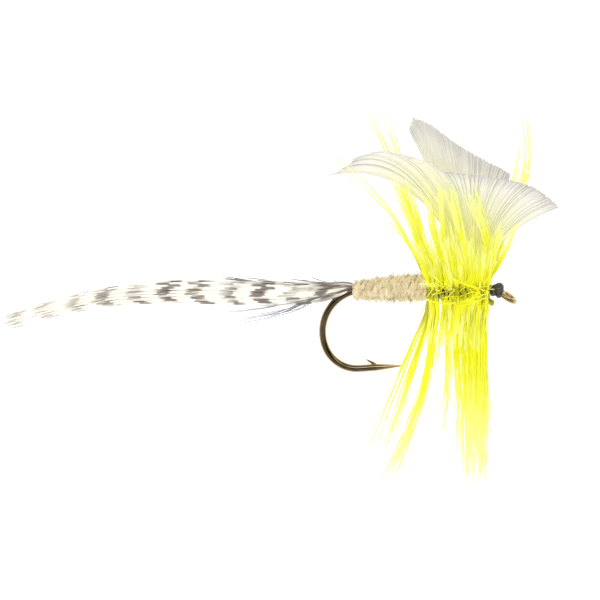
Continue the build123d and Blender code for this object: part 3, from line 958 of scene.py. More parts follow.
# ---------------------------------------------------------------- the hook
@dataclass
class HookWire:
    """One piece of bronzed wire: turned-down eye, shank, round bend, cut barb and needle point.

    Turns and lifts are in degrees. The bend is two arcs, one after the other.
    """

    wire: float = 0.26
    eye_wire: float = 0.18
    eye_hole: float = 0.40
    eye_land: float = 0.02
    eye_turn: float = 34.0
    eye_steps: int = 56
    eye_sides: int = 20
    neck: float = 0.92
    neck_straight: float = 0.14
    neck_merge: float = 0.10
    neck_steps: int = 12
    shank: float = 9.15
    shank_steps: int = 30
    bend_radii: tuple[float, float] = (3.05, 2.30)
    bend_turns: tuple[float, float] = (110.0, 74.2)
    arc_steps: int = 40
    spear: float = 1.05
    spear_steps: int = 8
    point: float = 2.08
    point_steps: int = 20
    point_fullness: float = 0.82
    needle: float = 0.010
    barb: float = 1.0
    barb_lift: float = 40.0
    barb_seat: float = 0.22
    barb_bow: float = 0.10
    barb_width: float = 0.15
    barb_depth: float = 0.17
    barb_steps: int = 8
    barb_sides: int = 12
    worn_point: float = 2.2
    worn_eye: float = 1.4
    sides: int = 28

    def eye_back(self) -> Vector:
        """The direction from the eye's centre back to the neck."""
        turn_down = math.radians(self.eye_turn)
        return Vector((-math.cos(turn_down), 0, math.sin(turn_down)))

    def centre_line(self) -> tuple[list[Vector], Vector]:
        """The wire's line from the shank's front end to the end of the bend.

        Returns:
            The points in millimetres, and the direction that the line ends in.
        """
        turn_down = math.radians(self.eye_turn)
        here = Vector((-self.neck * math.cos(turn_down), 0, self.neck * math.sin(turn_down)))
        heading = math.pi
        rear = here + Vector((-self.shank, 0, 0))
        points = [here.lerp(rear, k / self.shank_steps) for k in range(self.shank_steps + 1)]
        here = points[-1]
        for radius, turn in zip(self.bend_radii, self.bend_turns):
            step = math.radians(turn) / self.arc_steps
            for _ in range(self.arc_steps):
                chord = 2 * radius * math.sin(step / 2)
                heading += step / 2
                here = here + Vector((math.cos(heading), 0, math.sin(heading))) * chord
                heading += step / 2
                points.append(here)
        return points, Vector((math.cos(heading), 0, math.sin(heading)))

    def build(self) -> None:
        """Makes and places the whole hook."""
        line, ahead = self.centre_line()
        back = self.eye_back()
        root = back * (self.eye_hole + self.eye_wire * 0.7)
        knee = line[0] + Vector((-self.neck_merge, 0, 0))
        neck = smooth_line([root, root + back * self.neck_straight, knee, line[1]], self.neck_steps)
        path = neck[:-1] + line[1:]
        grown = self.neck_steps - 3
        radii = [self.eye_wire + (self.wire - self.eye_wire) * min(1, k / grown) for k in range(len(neck) - 1)]
        radii += [self.wire] * (len(path) - len(radii))
        start = path[-1]
        for k in range(1, self.spear_steps + 1):
            path.append(start + ahead * self.spear * k / self.spear_steps)
            radii.append(self.wire)
        ground = path[-1]
        for k in range(1, self.point_steps + 1):
            share = k / self.point_steps
            path.append(ground + ahead * self.point * share)
            radii.append(self.wire * (1 - share) ** self.point_fullness + self.needle)
        wire = tube([p * MM for p in path], [r * MM for r in radii], self.sides)
        mesh = mesh_from("hook", *join([wire, self._eye(), self._barb(ground, ahead)]))
        self._mark_wear(mesh, path[-1])
        ride_as(piece("hook_wire", mesh, Dress.BRONZE), ROOT_BODY, "hook_bronze", "hook")

    def _eye(self) -> Shell:
        """The eye's ring, flat by a hair inside, closed against the neck.

        Returns:
            The points and the faces.
        """
        back = self.eye_back()
        axis = Vector((back.z, 0, -back.x))
        middle = self.eye_hole + self.eye_wire - self.eye_land
        rings = []
        for k in range(self.eye_steps):
            turn = 2 * math.pi * k / self.eye_steps
            out = back * math.cos(turn) + ACROSS * math.sin(turn)
            ring = []
            for j in range(self.eye_sides):
                roll = 2 * math.pi * j / self.eye_sides
                reach = max(middle + self.eye_wire * math.cos(roll), self.eye_hole)
                ring.append((out * reach + axis * self.eye_wire * math.sin(roll)) * MM)
            rings.append(ring)
        rings.append(rings[0])
        return skin(rings, closed=False)

    def _barb(self, ground: Vector, ahead: Vector) -> Shell:
        """The barb: a sliver cut from the spear and lifted, thin at its tip.

        Args:
            ground: Where the point's taper starts.
            ahead: The direction of the point.

        Returns:
            The points and the faces.
        """
        lift = math.radians(self.barb_lift)
        up = ACROSS.cross(ahead) * -1
        away = -ahead * math.cos(lift) + up * math.sin(lift)
        seat = ground + ahead * self.barb_seat
        side = away.cross(ACROSS).normalized()
        rings = []
        for k in range(self.barb_steps + 1):
            share = k / self.barb_steps
            centre = seat + away * self.barb * share + ahead * self.barb_bow * math.sin(math.pi * share)
            across = self.barb_width * (1 - share) ** 0.9 + 0.012
            deep = self.barb_depth * (1 - share) ** 0.8 + 0.010
            ring = []
            for j in range(self.barb_sides):
                roll = 2 * math.pi * j / self.barb_sides
                ring.append((centre + side * math.cos(roll) * deep + ACROSS * math.sin(roll) * across) * MM)
            rings.append(ring)
        return skin(rings)

    def _mark_wear(self, mesh: bpy.types.Mesh, tip: Vector) -> None:
        """Marks where the lacquer is thin: at the point and the eye.

        Args:
            mesh: The hook's mesh.
            tip: The point's tip, in millimetres.
        """
        worn = mesh.attributes.new("worn", "FLOAT", "POINT")
        values = []
        for vertex in mesh.vertices:
            place = vertex.co / MM
            near_tip = max(0.0, 1 - (place - tip).length / self.worn_point)
            near_eye = max(0.0, 1 - place.length / self.worn_eye)
            values.append(max(near_tip, near_eye) * 0.8)
        worn.data.foreach_set("value", values)


# ---------------------------------------------------------------- thread
@dataclass
class ThreadWork:
    """All the visible thread: thorax turns, the post round the wings' feet, the head and its varnish.

    A knob of the head is its height, its place as a share of the head's length, and its width.
    """

    sweep: SweepTree
    thread: float = 0.055
    pitch: float = 0.095
    turn_steps: int = 22
    post_turns: int = 4
    post_steps: int = 28
    post_inset: float = 0.06
    head_radius: float = 0.245
    head_knobs: tuple[tuple[float, float, float], ...] = ((0.10, 0.16, 0.13), (0.20, 0.68, 0.22))
    coat_room: float = 0.125

    def wound(self, start: float, end: float, radius: Callable[[float], float],
              height: Callable[[float], float], phase: float = 0.0) -> Strand:
        """A run of touching turns.

        Args:
            start: Where the turns start along X.
            end: Where they end.
            radius: The radius that they are wound on, for a share of the run.
            height: The axis's height, for a share of the run.
            phase: The first turn's angle, in radians.

        Returns:
            The thread's line.
        """
        turns = abs(end - start) / self.pitch
        count = int(turns * self.turn_steps)
        points = []
        for k in range(count):
            share = k / (count - 1)
            angle = phase + 2 * math.pi * turns * share
            reach = radius(share)
            x = start + (end - start) * share
            points.append(Vector((x, -reach * math.sin(angle), height(share) + reach * math.cos(angle))) * MM)
        return Strand(points, [self.thread * MM] * count)

    def build(self) -> None:
        """Makes and places every thread piece."""
        self._base()
        self._thorax()
        self._post()
        self._head()

    def _base(self) -> None:
        """The thread that covers the shank, under everything else."""
        front = span_of("thread_base")[1]
        rear = span_of("dubbed_body")[0] + 0.05
        height = centre_of("thorax_wraps").z
        places = [Vector((front + (rear - front) * k / 20, 0, height)) * MM for k in range(21)]
        low, high = corners_of("thread_base")
        radius = (high.y - low.y) / 2
        strand = Strand(places, [radius * MM] * len(places))
        made = self.sweep.grow("shank_thread", [strand], Dress.THREAD, sides=24, rings=len(places))
        ride_as(made, ROOT_BODY, "thread_black", "thread_base")

    def _thorax(self) -> None:
        """The foundation under the hackle: a solid core with wound turns on it."""
        low, high = span_of("thorax_wraps")
        axis = centre_of("thorax_wraps").z
        radius = (span_of("thorax_wraps", 2)[1] - axis) - 2 * self.thread
        run = self.wound(low, high, lambda s: radius + self.thread, lambda s: axis)
        core = Strand([Vector((x, 0, axis)) * MM for x in (low, high)], [radius * MM] * 2)
        made = self.sweep.grow("thorax_thread", [run], Dress.THREAD, sides=6, rings=len(run.points))
        heart = self.sweep.grow("thorax_core", [core], Dress.THREAD, sides=32, rings=12)
        ride_as(made, ROOT_BODY, "thread_black", "thorax_wraps")
        ride_as(heart, ROOT_BODY, "thread_black")

    def _post(self) -> None:
        """Two layers of oval turns round the feet of both wings."""
        low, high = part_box("wing_post_wraps")
        middle = (low + high) / 2
        half = (high - low) / 2
        count = self.post_turns * self.post_steps
        rise = high.z - low.z - 2 * self.post_inset * MM
        runs = []
        for layer in (0.0, 1.0):
            squeeze = 1 - 0.10 * layer
            points = []
            for k in range(count):
                share = k / (count - 1)
                angle = 2 * math.pi * self.post_turns * share
                points.append(Vector((
                    middle.x + math.cos(angle) * (half.x - self.thread * MM) * squeeze,
                    middle.y + math.sin(angle) * (half.y - self.thread * MM) * squeeze,
                    low.z + (self.post_inset + layer * 0.03) * MM + rise * share)))
            runs.append(Strand(points, [self.thread * MM] * count))
        made = self.sweep.grow("wing_post_thread", runs, Dress.THREAD, sides=6, rings=count)
        ride_as(made, ROOT_BODY, "thread_black", "wing_post_wraps")

    def _swell(self, share: float) -> float:
        """The head's radius: a small rear knob, a waist and a fuller front knob.

        Args:
            share: From 0 at the head's rear to 1 at its front.

        Returns:
            The radius.
        """
        radius = self.head_radius
        for size, middle, width in self.head_knobs:
            radius += size * math.exp(-((share - middle) / width) ** 2)
        return radius

    @staticmethod
    def _height(share: float) -> float:
        """The head's axis, which follows the neck down a little."""
        return 0.40 + 0.10 * math.sin(math.pi * min(1, share * 1.05)) - 0.02 * share

    def _head(self) -> None:
        """The whip-finished head, wound up to the eye and back over itself, under varnish."""
        low, high = span_of("head_wraps")
        end = high - 0.04
        swell, height = self._swell, self._height
        run = self.wound(low, end, swell, height)
        back = self.wound(end, low + 0.25, lambda s: swell(1 - s * 0.75) + 0.045,
                          lambda s: height(1 - s * 0.75), 1.0)
        core = [Vector((low + (end - low) * k / 20, 0, height(k / 20))) * MM for k in range(21)]
        heart = Strand(core, [swell(k / 20) * MM for k in range(21)])
        made = self.sweep.grow("head_thread", [run, back], Dress.THREAD, sides=6, rings=len(run.points))
        solid = self.sweep.grow("head_core", [heart], Dress.THREAD, sides=32, rings=21)
        ride_as(made, ROOT_BODY, "thread_black", "head_wraps")
        ride_as(solid, ROOT_BODY, "thread_black")
        shell, radii = [], []
        for k in range(25):
            share = k / 24
            shell.append(Vector((low + 0.02 + (end + 0.02 - low) * k / 24, 0, height(share))) * MM)
            radii.append((swell(share) + self.coat_room) * MM * (0.78 + 0.22 * math.sin(math.pi * k / 24)))
        coat = self.sweep.grow("head_coat", [Strand(shell, radii)], Dress.VARNISH, sides=40, rings=25)
        ride_as(coat, ROOT_BODY, "head_lacquer", "head_varnish")


# ---------------------------------------------------------------- body
@dataclass
class DubbedBody:
    """Fur spun on thread and wound in touching turns, with loose hairs standing off it.

    A lump of the fur is its number of features for each millimetre and its height.
    """

    sweep: SweepTree
    rear_over: float = 0.16
    front_over: float = 0.10
    rear_height: float = 0.50
    front_rise: float = 0.20
    rear_radius: float = 0.47
    front_radius: float = 0.80
    swell: float = 0.06
    turns: int = 12
    ridge: float = 0.055
    lumps: tuple[tuple[float, float], ...] = ((1.7, 0.055), (6.0, 0.030))
    rows: int = 170
    sides: int = 64
    hairs: int = 2400
    guards: int = 150
    hair_length: tuple[float, float] = (0.35, 1.0)
    hair_seat: float = 0.018
    seed: int = 11

    def axis(self, share: float) -> Vector:
        """The body's axis.

        Args:
            share: From 0 at the rear to 1 at the front.

        Returns:
            The point.
        """
        low, high = span_of("dubbed_body")
        length = high - low + self.rear_over + self.front_over
        return Vector((low - self.rear_over + length * share, 0, self.rear_height + self.front_rise * share))

    def radius(self, share: float, turn: float) -> float:
        """The fur's radius.

        Args:
            share: From 0 at the rear to 1 at the front.
            turn: The turn round the axis, in radians.

        Returns:
            The radius.
        """
        plain = self.rear_radius + (self.front_radius - self.rear_radius) * share
        plain += self.swell * math.sin(math.pi * share)
        wave = 0.5 + 0.5 * math.cos(2 * math.pi * self.turns * share - turn)
        ends = min(1.0, share / 0.03, (1 - share) / 0.03) ** 0.5
        return (plain + self.ridge * (wave - 0.5)) * (0.80 + 0.20 * ends)

    def build(self) -> None:
        """Makes the fur's form and its loose hairs."""
        rings = []
        for r in range(self.rows + 1):
            share = r / self.rows
            centre = self.axis(share)
            ring = []
            for k in range(self.sides):
                turn = 2 * math.pi * k / self.sides
                out = Vector((0, math.sin(turn), math.cos(turn)))
                place = centre + out * self.radius(share, turn)
                lump = sum(noise.noise(place * rate) * height for rate, height in self.lumps)
                ring.append((place + out * lump) * MM)
            rings.append(ring)
        form = piece("dubbed_form", mesh_from("dubbed_form", *skin(rings)), Dress.FUR)
        ride_as(form, ROOT_BODY, "fur", "dubbed_body")
        for name, dress, hairs in (
            ("dubbed_hairs", Dress.FUR, self._hairs(self.hairs, 3.0, 0.024, 0.46)),
            ("guard_hairs", Dress.GUARD, self._hairs(self.guards, 0.7, 0.022, 0.68)),
        ):
            fuzz = self.sweep.grow(name, hairs, dress, copies=1, fray=0.0005, sides=4, rings=7, seed=self.seed)
            ride_as(fuzz, ROOT_BODY, "fur")

    def _hairs(self, count: int, lie: float, thick: float, stand: float) -> list[Strand]:
        """Short hairs that lie along the turns, some standing off, more of them below.

        Args:
            count: How many hairs.
            lie: How many of them lie close: 1 is an even spread, and more lie closer.
            thick: A hair's radius in millimetres.
            stand: How far the loosest hair stands off, as a share of its length.

        Returns:
            The hairs.
        """
        pick = random.Random(self.seed + count)
        hairs = []
        for _ in range(count):
            share = pick.uniform(0.0, 1.0)
            turn = pick.uniform(0, 2 * math.pi)
            loose = pick.random() ** lie
            if math.cos(turn) < -0.5 and pick.random() < 0.40:
                loose = pick.uniform(0.4, 1.0)
            length = pick.uniform(*self.hair_length)
            sweep_way = pick.choice((-1, 1))
            places = []
            for k in range(4):
                part = k / 3
                angle = turn + sweep_way * part * length * (1.05 - 0.6 * loose)
                out = Vector((0, math.sin(angle), math.cos(angle)))
                drift = part * length * (0.30 * sweep_way + pick.uniform(-0.18, 0.18))
                at = min(1.0, max(0.0, share + drift / 5))
                rise = self.radius(at, angle) + self.hair_seat + loose * part * length * stand
                places.append(self.axis(at) + out * rise)
            hairs.append(Strand.through(places, thick, 0.3, 8))
        return hairs


# ---------------------------------------------------------------- tail
@dataclass
class BarredTail:
    """The long barred barbs in one bundle, short broken barbs along it, and the slate barbs below.

    The line is the bundle's middle as (x, z), with z from the root's height. Broken barbs end at a few shares
    of the tail's length, and lie at a few heights in the bundle. A wisp is where a slate barb's tip hangs, as
    (x, z).
    """

    sweep: SweepTree
    root_height: float = 0.72
    barb: float = 0.092
    height: float = 1.60
    depth: float = 0.85
    rows: int = 12
    stations: tuple[float, ...] = (0.0, 0.025, 0.06, 0.11, 0.18, 0.28, 0.40, 0.52, 0.64, 0.75, 0.86, 1.0)
    barb_points: int = 40
    broken: int = 26
    broken_at: tuple[float, ...] = (0.05, 0.085, 0.12, 0.16, 0.21, 0.26, 0.31, 0.36)
    broken_up: tuple[float, ...] = (1.08, 1.0, 0.9, 0.5, -0.88)
    wisps: tuple[tuple[float, float], ...] = (
        (-19.3, -1.10), (-18.9, -1.55), (-18.7, -1.80), (-17.1, -1.75), (-19.8, -0.80), (-17.9, -1.40),
        (-16.2, -1.30), (-18.4, -1.20), (-17.4, -1.00),
    )
    wisp: float = 0.034
    wisp_root: float = -10.5
    bend: tuple[float, float] = (0.2, -4.0)
    seed: int = 5
    line: tuple[tuple[float, float], ...] = (
        (-10.45, 0.0), (-11.5, -0.10), (-12.6, -0.38), (-14.9, -0.56), (-17.9, -0.50), (-21.0, -0.35),
        (-24.2, -0.37), (-26.8, -0.52), (-29.0, -0.86), (-31.2, -1.28), (-33.1, -1.78), (-35.5, -2.52),
        (-37.0, -3.05),
    )

    def centre(self, share: float) -> Vector:
        """The bundle's centre line.

        Args:
            share: From 0 at the tie-in to 1 at the tip.

        Returns:
            The point.
        """
        xs = np.array([x for x, _ in self.line])
        zs = np.array([z for _, z in self.line])
        x = xs[0] + (xs[-1] - xs[0]) * share
        return Vector((x, 0, self.root_height + float(np.interp(-x, -xs, zs))))

    @staticmethod
    def opening(share: float) -> float:
        """How full the bundle is, for a share of its length."""
        full = 0.16 + 0.84 * (1 - math.exp(-share * 13))
        return full * (1 - 0.34 * max(0.0, share - 0.42) / 0.58)

    def fibre(self, up: float, out: float, length: float, flare: float, radius: float) -> Strand:
        """One barb of the bundle.

        Args:
            up: Its place in the bundle, from -1 at the bottom to 1 at the top.
            out: Its place across, from -1 near to 1 far.
            length: Its share of the tail's length.
            flare: How far its tip leaves the bundle, in millimetres.
            radius: Its thickness at the root, in millimetres.

        Returns:
            The barb.
        """
        places = []
        for station in self.stations:
            share = station * length
            fan = self.opening(share)
            lift = flare * station ** 3
            offset = Vector((0, out * fan * self.depth / 2, up * fan * self.height / 2 + lift))
            places.append(self.centre(share) + offset)
        strand = Strand.through(places, radius, 0.30, self.barb_points)
        for k, thick in enumerate(strand.radii):
            share = k / (self.barb_points - 1) * length
            strand.radii[k] = min(thick, (0.035 + 0.10 * self.opening(share)) * MM)
        return strand

    def build(self) -> None:
        """Makes and places the tail's pieces."""
        pick = random.Random(self.seed)
        barbs = []
        for row in range(self.rows):
            up = -1 + 2 * row / (self.rows - 1)
            for layer in (-1, 0, 1):
                out = 0.75 * layer + pick.uniform(-0.15, 0.15)
                if abs(up) > 0.85 and layer:
                    continue
                length = 1.0 - abs(pick.gauss(0, 0.035)) - 0.02 * (row % 3)
                barbs.append(self.fibre(up + pick.uniform(-0.06, 0.06), out, length, 0.0, self.barb))
        long_barbs = self.sweep.grow("tail_barbs", barbs, Dress.FLANK, copies=1, spread=0.00006, fray=0.00035,
                                     sides=6, rings=60, seed=self.seed)
        short = []
        for _ in range(self.broken):
            up = pick.choice(self.broken_up)
            length = pick.choice(self.broken_at) + pick.uniform(-0.02, 0.02)
            flare = pick.uniform(0.10, 0.40) if up > 0 else 0.0
            short.append(self.fibre(up, pick.uniform(-0.9, 0.4), length, flare, self.barb * 0.70))
        short_barbs = self.sweep.grow("tail_short_barbs", short, Dress.BROKEN, copies=1, spread=0.00008,
                                      fray=0.0004, sides=5, rings=30, seed=self.seed + 1)
        pivot = joint_place("tail_flex")
        start, end = [(pivot.x + shift, 0, pivot.z) for shift in self.bend]
        bend_as(long_barbs, "tail", "tail_barred", start, end, "tail_barred_barbs")
        bend_as(short_barbs, "tail", "tail_barred", start, end, "tail_barred_barbs")
        bend_as(self._wisps(pick), "tail", "tail_slate", start, end, "tail_slate_barbs")

    def _wisps(self, pick: random.Random) -> bpy.types.Object:
        """The slate barbs: a few fine soft fibres that sag below the bundle.

        Args:
            pick: The source of chance.

        Returns:
            The finished piece.
        """
        strands = []
        for k, (x, z) in enumerate(self.wisps):
            side = -0.36 - 0.05 * k if k % 3 else 0.40
            places = [
                (self.wisp_root, side * 0.2, self.root_height),
                (self.wisp_root - 1.5, side * 0.3, 0.50),
                (self.wisp_root - 3.0, side * 0.5, 0.04 - 0.02 * k),
                (self.wisp_root + (x - self.wisp_root) * 0.64, side * 1.2, z * 0.52 - 0.12),
                (x, side * 1.6, z + pick.uniform(-0.1, 0.1)),
            ]
            strands.append(Strand.through(places, self.wisp, 0.40, 22))
        return self.sweep.grow("slate_barbs", strands, Dress.SLATE, copies=1, fray=0.0004, sides=5, rings=22,
                               seed=3)


# ---------------------------------------------------------------- wings
@dataclass
class WingSlip:
    """A slip of flight feather: a fan of barbs side by side, from a bound foot to a ragged edge.

    A key is (place across the slip, middle x, middle z, tip x, tip z): the barb starts at the foot, heads for
    the middle point and curves to its tip. Bend is two heights from the joint.
    """

    name: str
    body: str
    joint: str
    side: int
    keys: tuple[tuple[float, float, float, float, float], ...]
    barbs: int = 96
    seed: int = 1
    foot_half: float = 0.30
    parting: float = 0.16
    flare: float = 25.0
    rows: int = 26
    fray: float = 0.025
    overlap: float = 1.15
    roof: float = 0.012
    narrowest: float = 0.02
    uneven: float = 0.016
    stray: float = 0.012
    bend: tuple[float, float] = (-0.4, 2.6)

    def key(self, across: float, column: int) -> float:
        """One value of the keys, at a place across the slip."""
        return float(np.interp(across, [k[0] for k in self.keys], [k[column] for k in self.keys]))

    def place(self, across: float, share: float, trim: float, foot: Vector) -> Vector:
        """A point of the slip.

        Args:
            across: From 0 at the rear barb to 1 at the front one.
            share: From 0 at the foot to 1 at the tip.
            trim: The barb's length as a share of its full length.
            foot: The middle of the slip's foot, in millimetres.

        Returns:
            The point in millimetres.
        """
        t = share * trim
        start = Vector((foot.x + (across - 0.5) * 2 * self.foot_half, 0, foot.z))
        bend = Vector((self.key(across, 1), 0, self.key(across, 2)))
        tip = Vector((self.key(across, 3), 0, self.key(across, 4)))
        spot = start * (1 - t) ** 2 + bend * 2 * t * (1 - t) + tip * t * t
        rise = max(0.0, spot.z - foot.z)
        bow = self.flare - math.sqrt(self.flare ** 2 - min(rise, 20.0) ** 2)
        spot.y = self.side * (self.parting + bow)
        return spot

    def build(self) -> None:
        """Makes the slip as a web of barbs and places it."""
        pick = random.Random(self.seed)
        pivot = joint_place(self.joint)
        foot = Vector((pivot.x, 0, span_of("wing_post_wraps", 2)[0] + 0.02))
        points: list[Vector] = []
        faces: list[tuple[int, ...]] = []
        marks: dict[str, list[float]] = {"along": [], "across": [], "strand": []}
        for index in range(self.barbs):
            across = index / (self.barbs - 1)
            trim = 1.0 - self.fray * pick.random() ** 3
            self._barb(across, trim, foot, pick, points, faces, marks)
        mesh = mesh_from(self.name, points, faces)
        for label, values in marks.items():
            layer = mesh.attributes.new(label, "FLOAT", "POINT")
            layer.data.foreach_set("value", values)
        made = piece(self.name + "_web", mesh, Dress.WEB)
        start, end = [(pivot.x, 0, pivot.z + shift) for shift in self.bend]
        bend_as(made, self.body, "wing_quill", start, end, self.name)

    def _barb(self, across: float, trim: float, foot: Vector, pick: random.Random, points: list[Vector],
              faces: list[tuple[int, ...]], marks: dict[str, list[float]]) -> None:
        """Adds one barb: a thin roofed strip, as wide as the room it has, that overlaps the next one.

        Args:
            across: The barb's place, from 0 at the rear to 1 at the front.
            trim: Its length as a share of its full length.
            foot: The middle of the slip's foot, in millimetres.
            pick: The source of chance.
            points: The slip's points, added to.
            faces: The slip's faces, added to.
            marks: The slip's attributes, added to.
        """
        step = 0.5 / (self.barbs - 1)
        shade = pick.random()
        lift = pick.uniform(-self.uneven, self.uneven)
        stray = pick.gauss(0, self.stray)
        normal = ACROSS * self.side
        tilt = normal * self.roof
        first = len(points)
        for row in range(self.rows + 1):
            share = row / self.rows
            centre = self.place(across, share, trim, foot)
            before = self.place(across - step, share, trim, foot)
            after = self.place(across + step, share, trim, foot)
            gap = after - before
            beside = gap.normalized() if gap.length > 1e-6 else Vector((1, 0, 0))
            taper = 1.0 - max(0.0, share - 0.95) / 0.05 * 0.4
            half = (gap * self.overlap) * taper
            if half.length < self.narrowest:
                half = beside * self.narrowest
            centre += beside * (stray * share ** 4) + normal * lift
            spots = (centre - half, centre + tilt, centre + half, centre - tilt * 0.6)
            points += [spot * MM for spot in spots]
            marks["along"] += [share] * 4
            marks["across"] += [1.0, 0.0, 1.0, 0.0]
            marks["strand"] += [shade] * 4
        for row in range(self.rows):
            for k in range(4):
                a = first + row * 4 + k
                b = first + row * 4 + (k + 1) % 4
                faces.append((a, b, b + 4, a + 4))
        last = first + self.rows * 4
        faces.append((first + 3, first + 2, first + 1, first))
        faces.append((last, last + 1, last + 2, last + 3))


# ---------------------------------------------------------------- hackle
Path = tuple[tuple[float, float], ...]


@dataclass(frozen=True)
class Lock:
    """A lock of hackle barbs that lie together.

    Its rear and front edges are paths of (x, z), as they look from the side. A path's first place is where the
    barb leaves the quill. A path that ends below the shank hangs down. Turns are degrees from straight up, or
    from straight down for a hanging lock, positive to the near side. Seats are the same, for the roots.
    """

    rear: Path
    front: Path
    turns: tuple[float, float]
    guides: int
    seats: tuple[float, float] | None = None
    shortest: float = 0.72
    thick: float = 0.040
    steps: int = 18

    def barb(self, axis: float, seat: float, pick: random.Random) -> Strand:
        """One guide barb of the lock.

        Args:
            axis: The height of the quill's axis, in millimetres.
            seat: The radius that the barbs start from.
            pick: The source of chance.

        Returns:
            The barb.
        """
        share = pick.random()
        turn = math.radians(pick.uniform(*self.turns))
        root = math.radians(pick.uniform(*self.seats)) if self.seats else turn
        middle = math.radians(sum(self.turns) / 2)
        stretch = 1 / max(math.cos(middle), 0.75)
        way = 1.0 if self.rear[-1][1] > axis else -1.0
        slant = pick.gauss(0, 0.012)
        places = []
        for k, ((x0, z0), (x1, z1)) in enumerate(zip(self.rear, self.front)):
            x = x0 + (x1 - x0) * share
            reach = abs(z0 + (z1 - z0) * share - axis) * stretch
            if k == 0:
                places.append((x, -seat * math.sin(root), axis + way * seat * math.cos(root)))
            else:
                places.append((x + slant * reach, -reach * math.sin(turn), axis + way * reach * math.cos(turn)))
        strand = Strand.through(places, self.thick * pick.uniform(0.8, 1.2), 0.34, self.steps)
        kept = max(6, int(self.steps * pick.uniform(self.shortest, 1.0)))
        radii = [strand.radii[int(k * (self.steps - 1) / (kept - 1))] for k in range(kept)]
        return Strand(strand.points[:kept], radii)


@dataclass
class Hackle:
    """One wound hackle feather: its quill and its barbs, a few copies of each guide barb."""

    name: str
    sweep: SweepTree
    locks: tuple[Lock, ...]
    seed: int
    copies: int = 3
    spread: float = 0.20
    fray: float = 0.75
    pitch: float = 0.42
    turn_steps: int = 30
    quill: float = 0.085

    def build(self) -> None:
        """Makes and places the quill and the barbs."""
        stem = self.name + "_stem"
        low, high = span_of(stem)
        axis = centre_of(stem).z
        bottom, top = span_of(stem, 2)
        seat = (top - bottom) / 2 - self.quill
        turns = (high - low - 2 * self.quill) / self.pitch
        count = int(turns * self.turn_steps)
        points = []
        for k in range(count):
            share = k / (count - 1)
            angle = 2 * math.pi * turns * share
            x = low + self.quill + (high - low - 2 * self.quill) * share
            points.append(Vector((x, -seat * math.sin(angle), axis + seat * math.cos(angle))) * MM)
        radii = [self.quill * MM * (1 - 0.35 * k / count) for k in range(count)]
        made = self.sweep.grow(self.name + "_quill", [Strand(points, radii)], Dress.QUILL, sides=8, rings=count)
        ride_as(made, ROOT_BODY, "hackle_stem", stem)
        pick = random.Random(self.seed)
        strands = [lock.barb(axis, seat, pick) for lock in self.locks for _ in range(lock.guides)]
        barbs = self.sweep.grow(self.name + "_barbs_fan", strands, Dress.YELLOW, copies=self.copies,
                                spread=self.spread * MM, fray=self.fray * MM, shorter=0.07, sides=4, rings=12,
                                seed=self.seed)
        ride_as(barbs, ROOT_BODY, "hackle_yellow", self.name + "_barbs")


@dataclass
class LooseBarbs:
    """The barbs that the thread has trapped across the thorax, and the trimmed quill ends under the head."""

    sweep: SweepTree
    trapped: float = 0.062
    strays: int = 38
    stray: tuple[float, float] = (0.025, 0.042)
    axis: float = 0.52
    cut_quill: float = 0.135
    stubs: int = 9
    stub: float = 0.028
    seed: int = 23

    def build(self) -> None:
        """Makes and places the loose pieces."""
        pick = random.Random(self.seed)
        rear = span_of("rear_hackle_stem")[0]
        front = span_of("head_wraps")[0]
        routes = [
            [(rear + 0.1, -1.30, 0.10), (rear + 1.1, -1.55, -0.14), (rear + 2.6, -1.55, -0.04),
             (front, -0.70, 0.42)],
            [(rear + 1.7, -0.95, 1.56), (rear + 2.9, -1.22, 1.10), (front + 0.05, -0.62, 0.50)],
            [(rear + 2.3, -1.05, -0.52), (rear + 3.2, -1.22, -0.16), (front, -0.66, 0.14)],
        ]
        strands = [Strand.through(route, self.trapped, 0.7, 24) for route in routes]
        for index in range(self.strays):
            x = pick.uniform(rear + 0.1, front - 0.4) if index % 4 else pick.uniform(rear + 2.7, front - 0.9)
            turn = pick.uniform(35, 150)
            swing = pick.uniform(-65, 65)
            reach = pick.uniform(0.95, 1.18)
            places = []
            for k in range(3):
                angle = math.radians(turn + swing * k / 2)
                along = x + pick.uniform(0.0, 0.5) * k
                places.append((along, -reach * math.sin(angle), self.axis + reach * math.cos(angle)))
            strands.append(Strand.through(places, pick.uniform(*self.stray), 0.6, 10))
        strays = self.sweep.grow("stray_barbs", strands, Dress.STRAY, copies=1, fray=0.0002, sides=6, rings=22,
                                 seed=9)
        ride_as(strays, ROOT_BODY, "hackle_yellow", "stray_hackle_barbs")
        self._butts(pick)

    def _butts(self, pick: random.Random) -> None:
        """The two cut quills, with stubs of barbs left on them.

        Args:
            pick: The source of chance.
        """
        low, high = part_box("hackle_stem_butts")
        strands = []
        for side in (-1, 1):
            start = Vector((low.x / MM - 0.15, side * 0.13, high.z / MM - 0.10))
            end = Vector((high.x / MM - 0.32, side * 0.17, low.z / MM + 0.16 + 0.05 * side))
            strands.append(Strand([start.lerp(end, k / 7) * MM for k in range(8)], [self.cut_quill * MM] * 8))
            for _ in range(self.stubs):
                root = start.lerp(end, pick.uniform(0.2, 0.95))
                reach = (pick.uniform(0.05, 0.22), pick.uniform(-0.2, 0.2), pick.uniform(-0.24, 0.10))
                strands.append(Strand.through([root, root + Vector(reach)], self.stub, 0.5, 4))
        made = self.sweep.grow("cut_quills", strands, Dress.QUILL, copies=1, sides=8, rings=8, seed=4)
        ride_as(made, ROOT_BODY, "hackle_stem", "hackle_stem_butts")


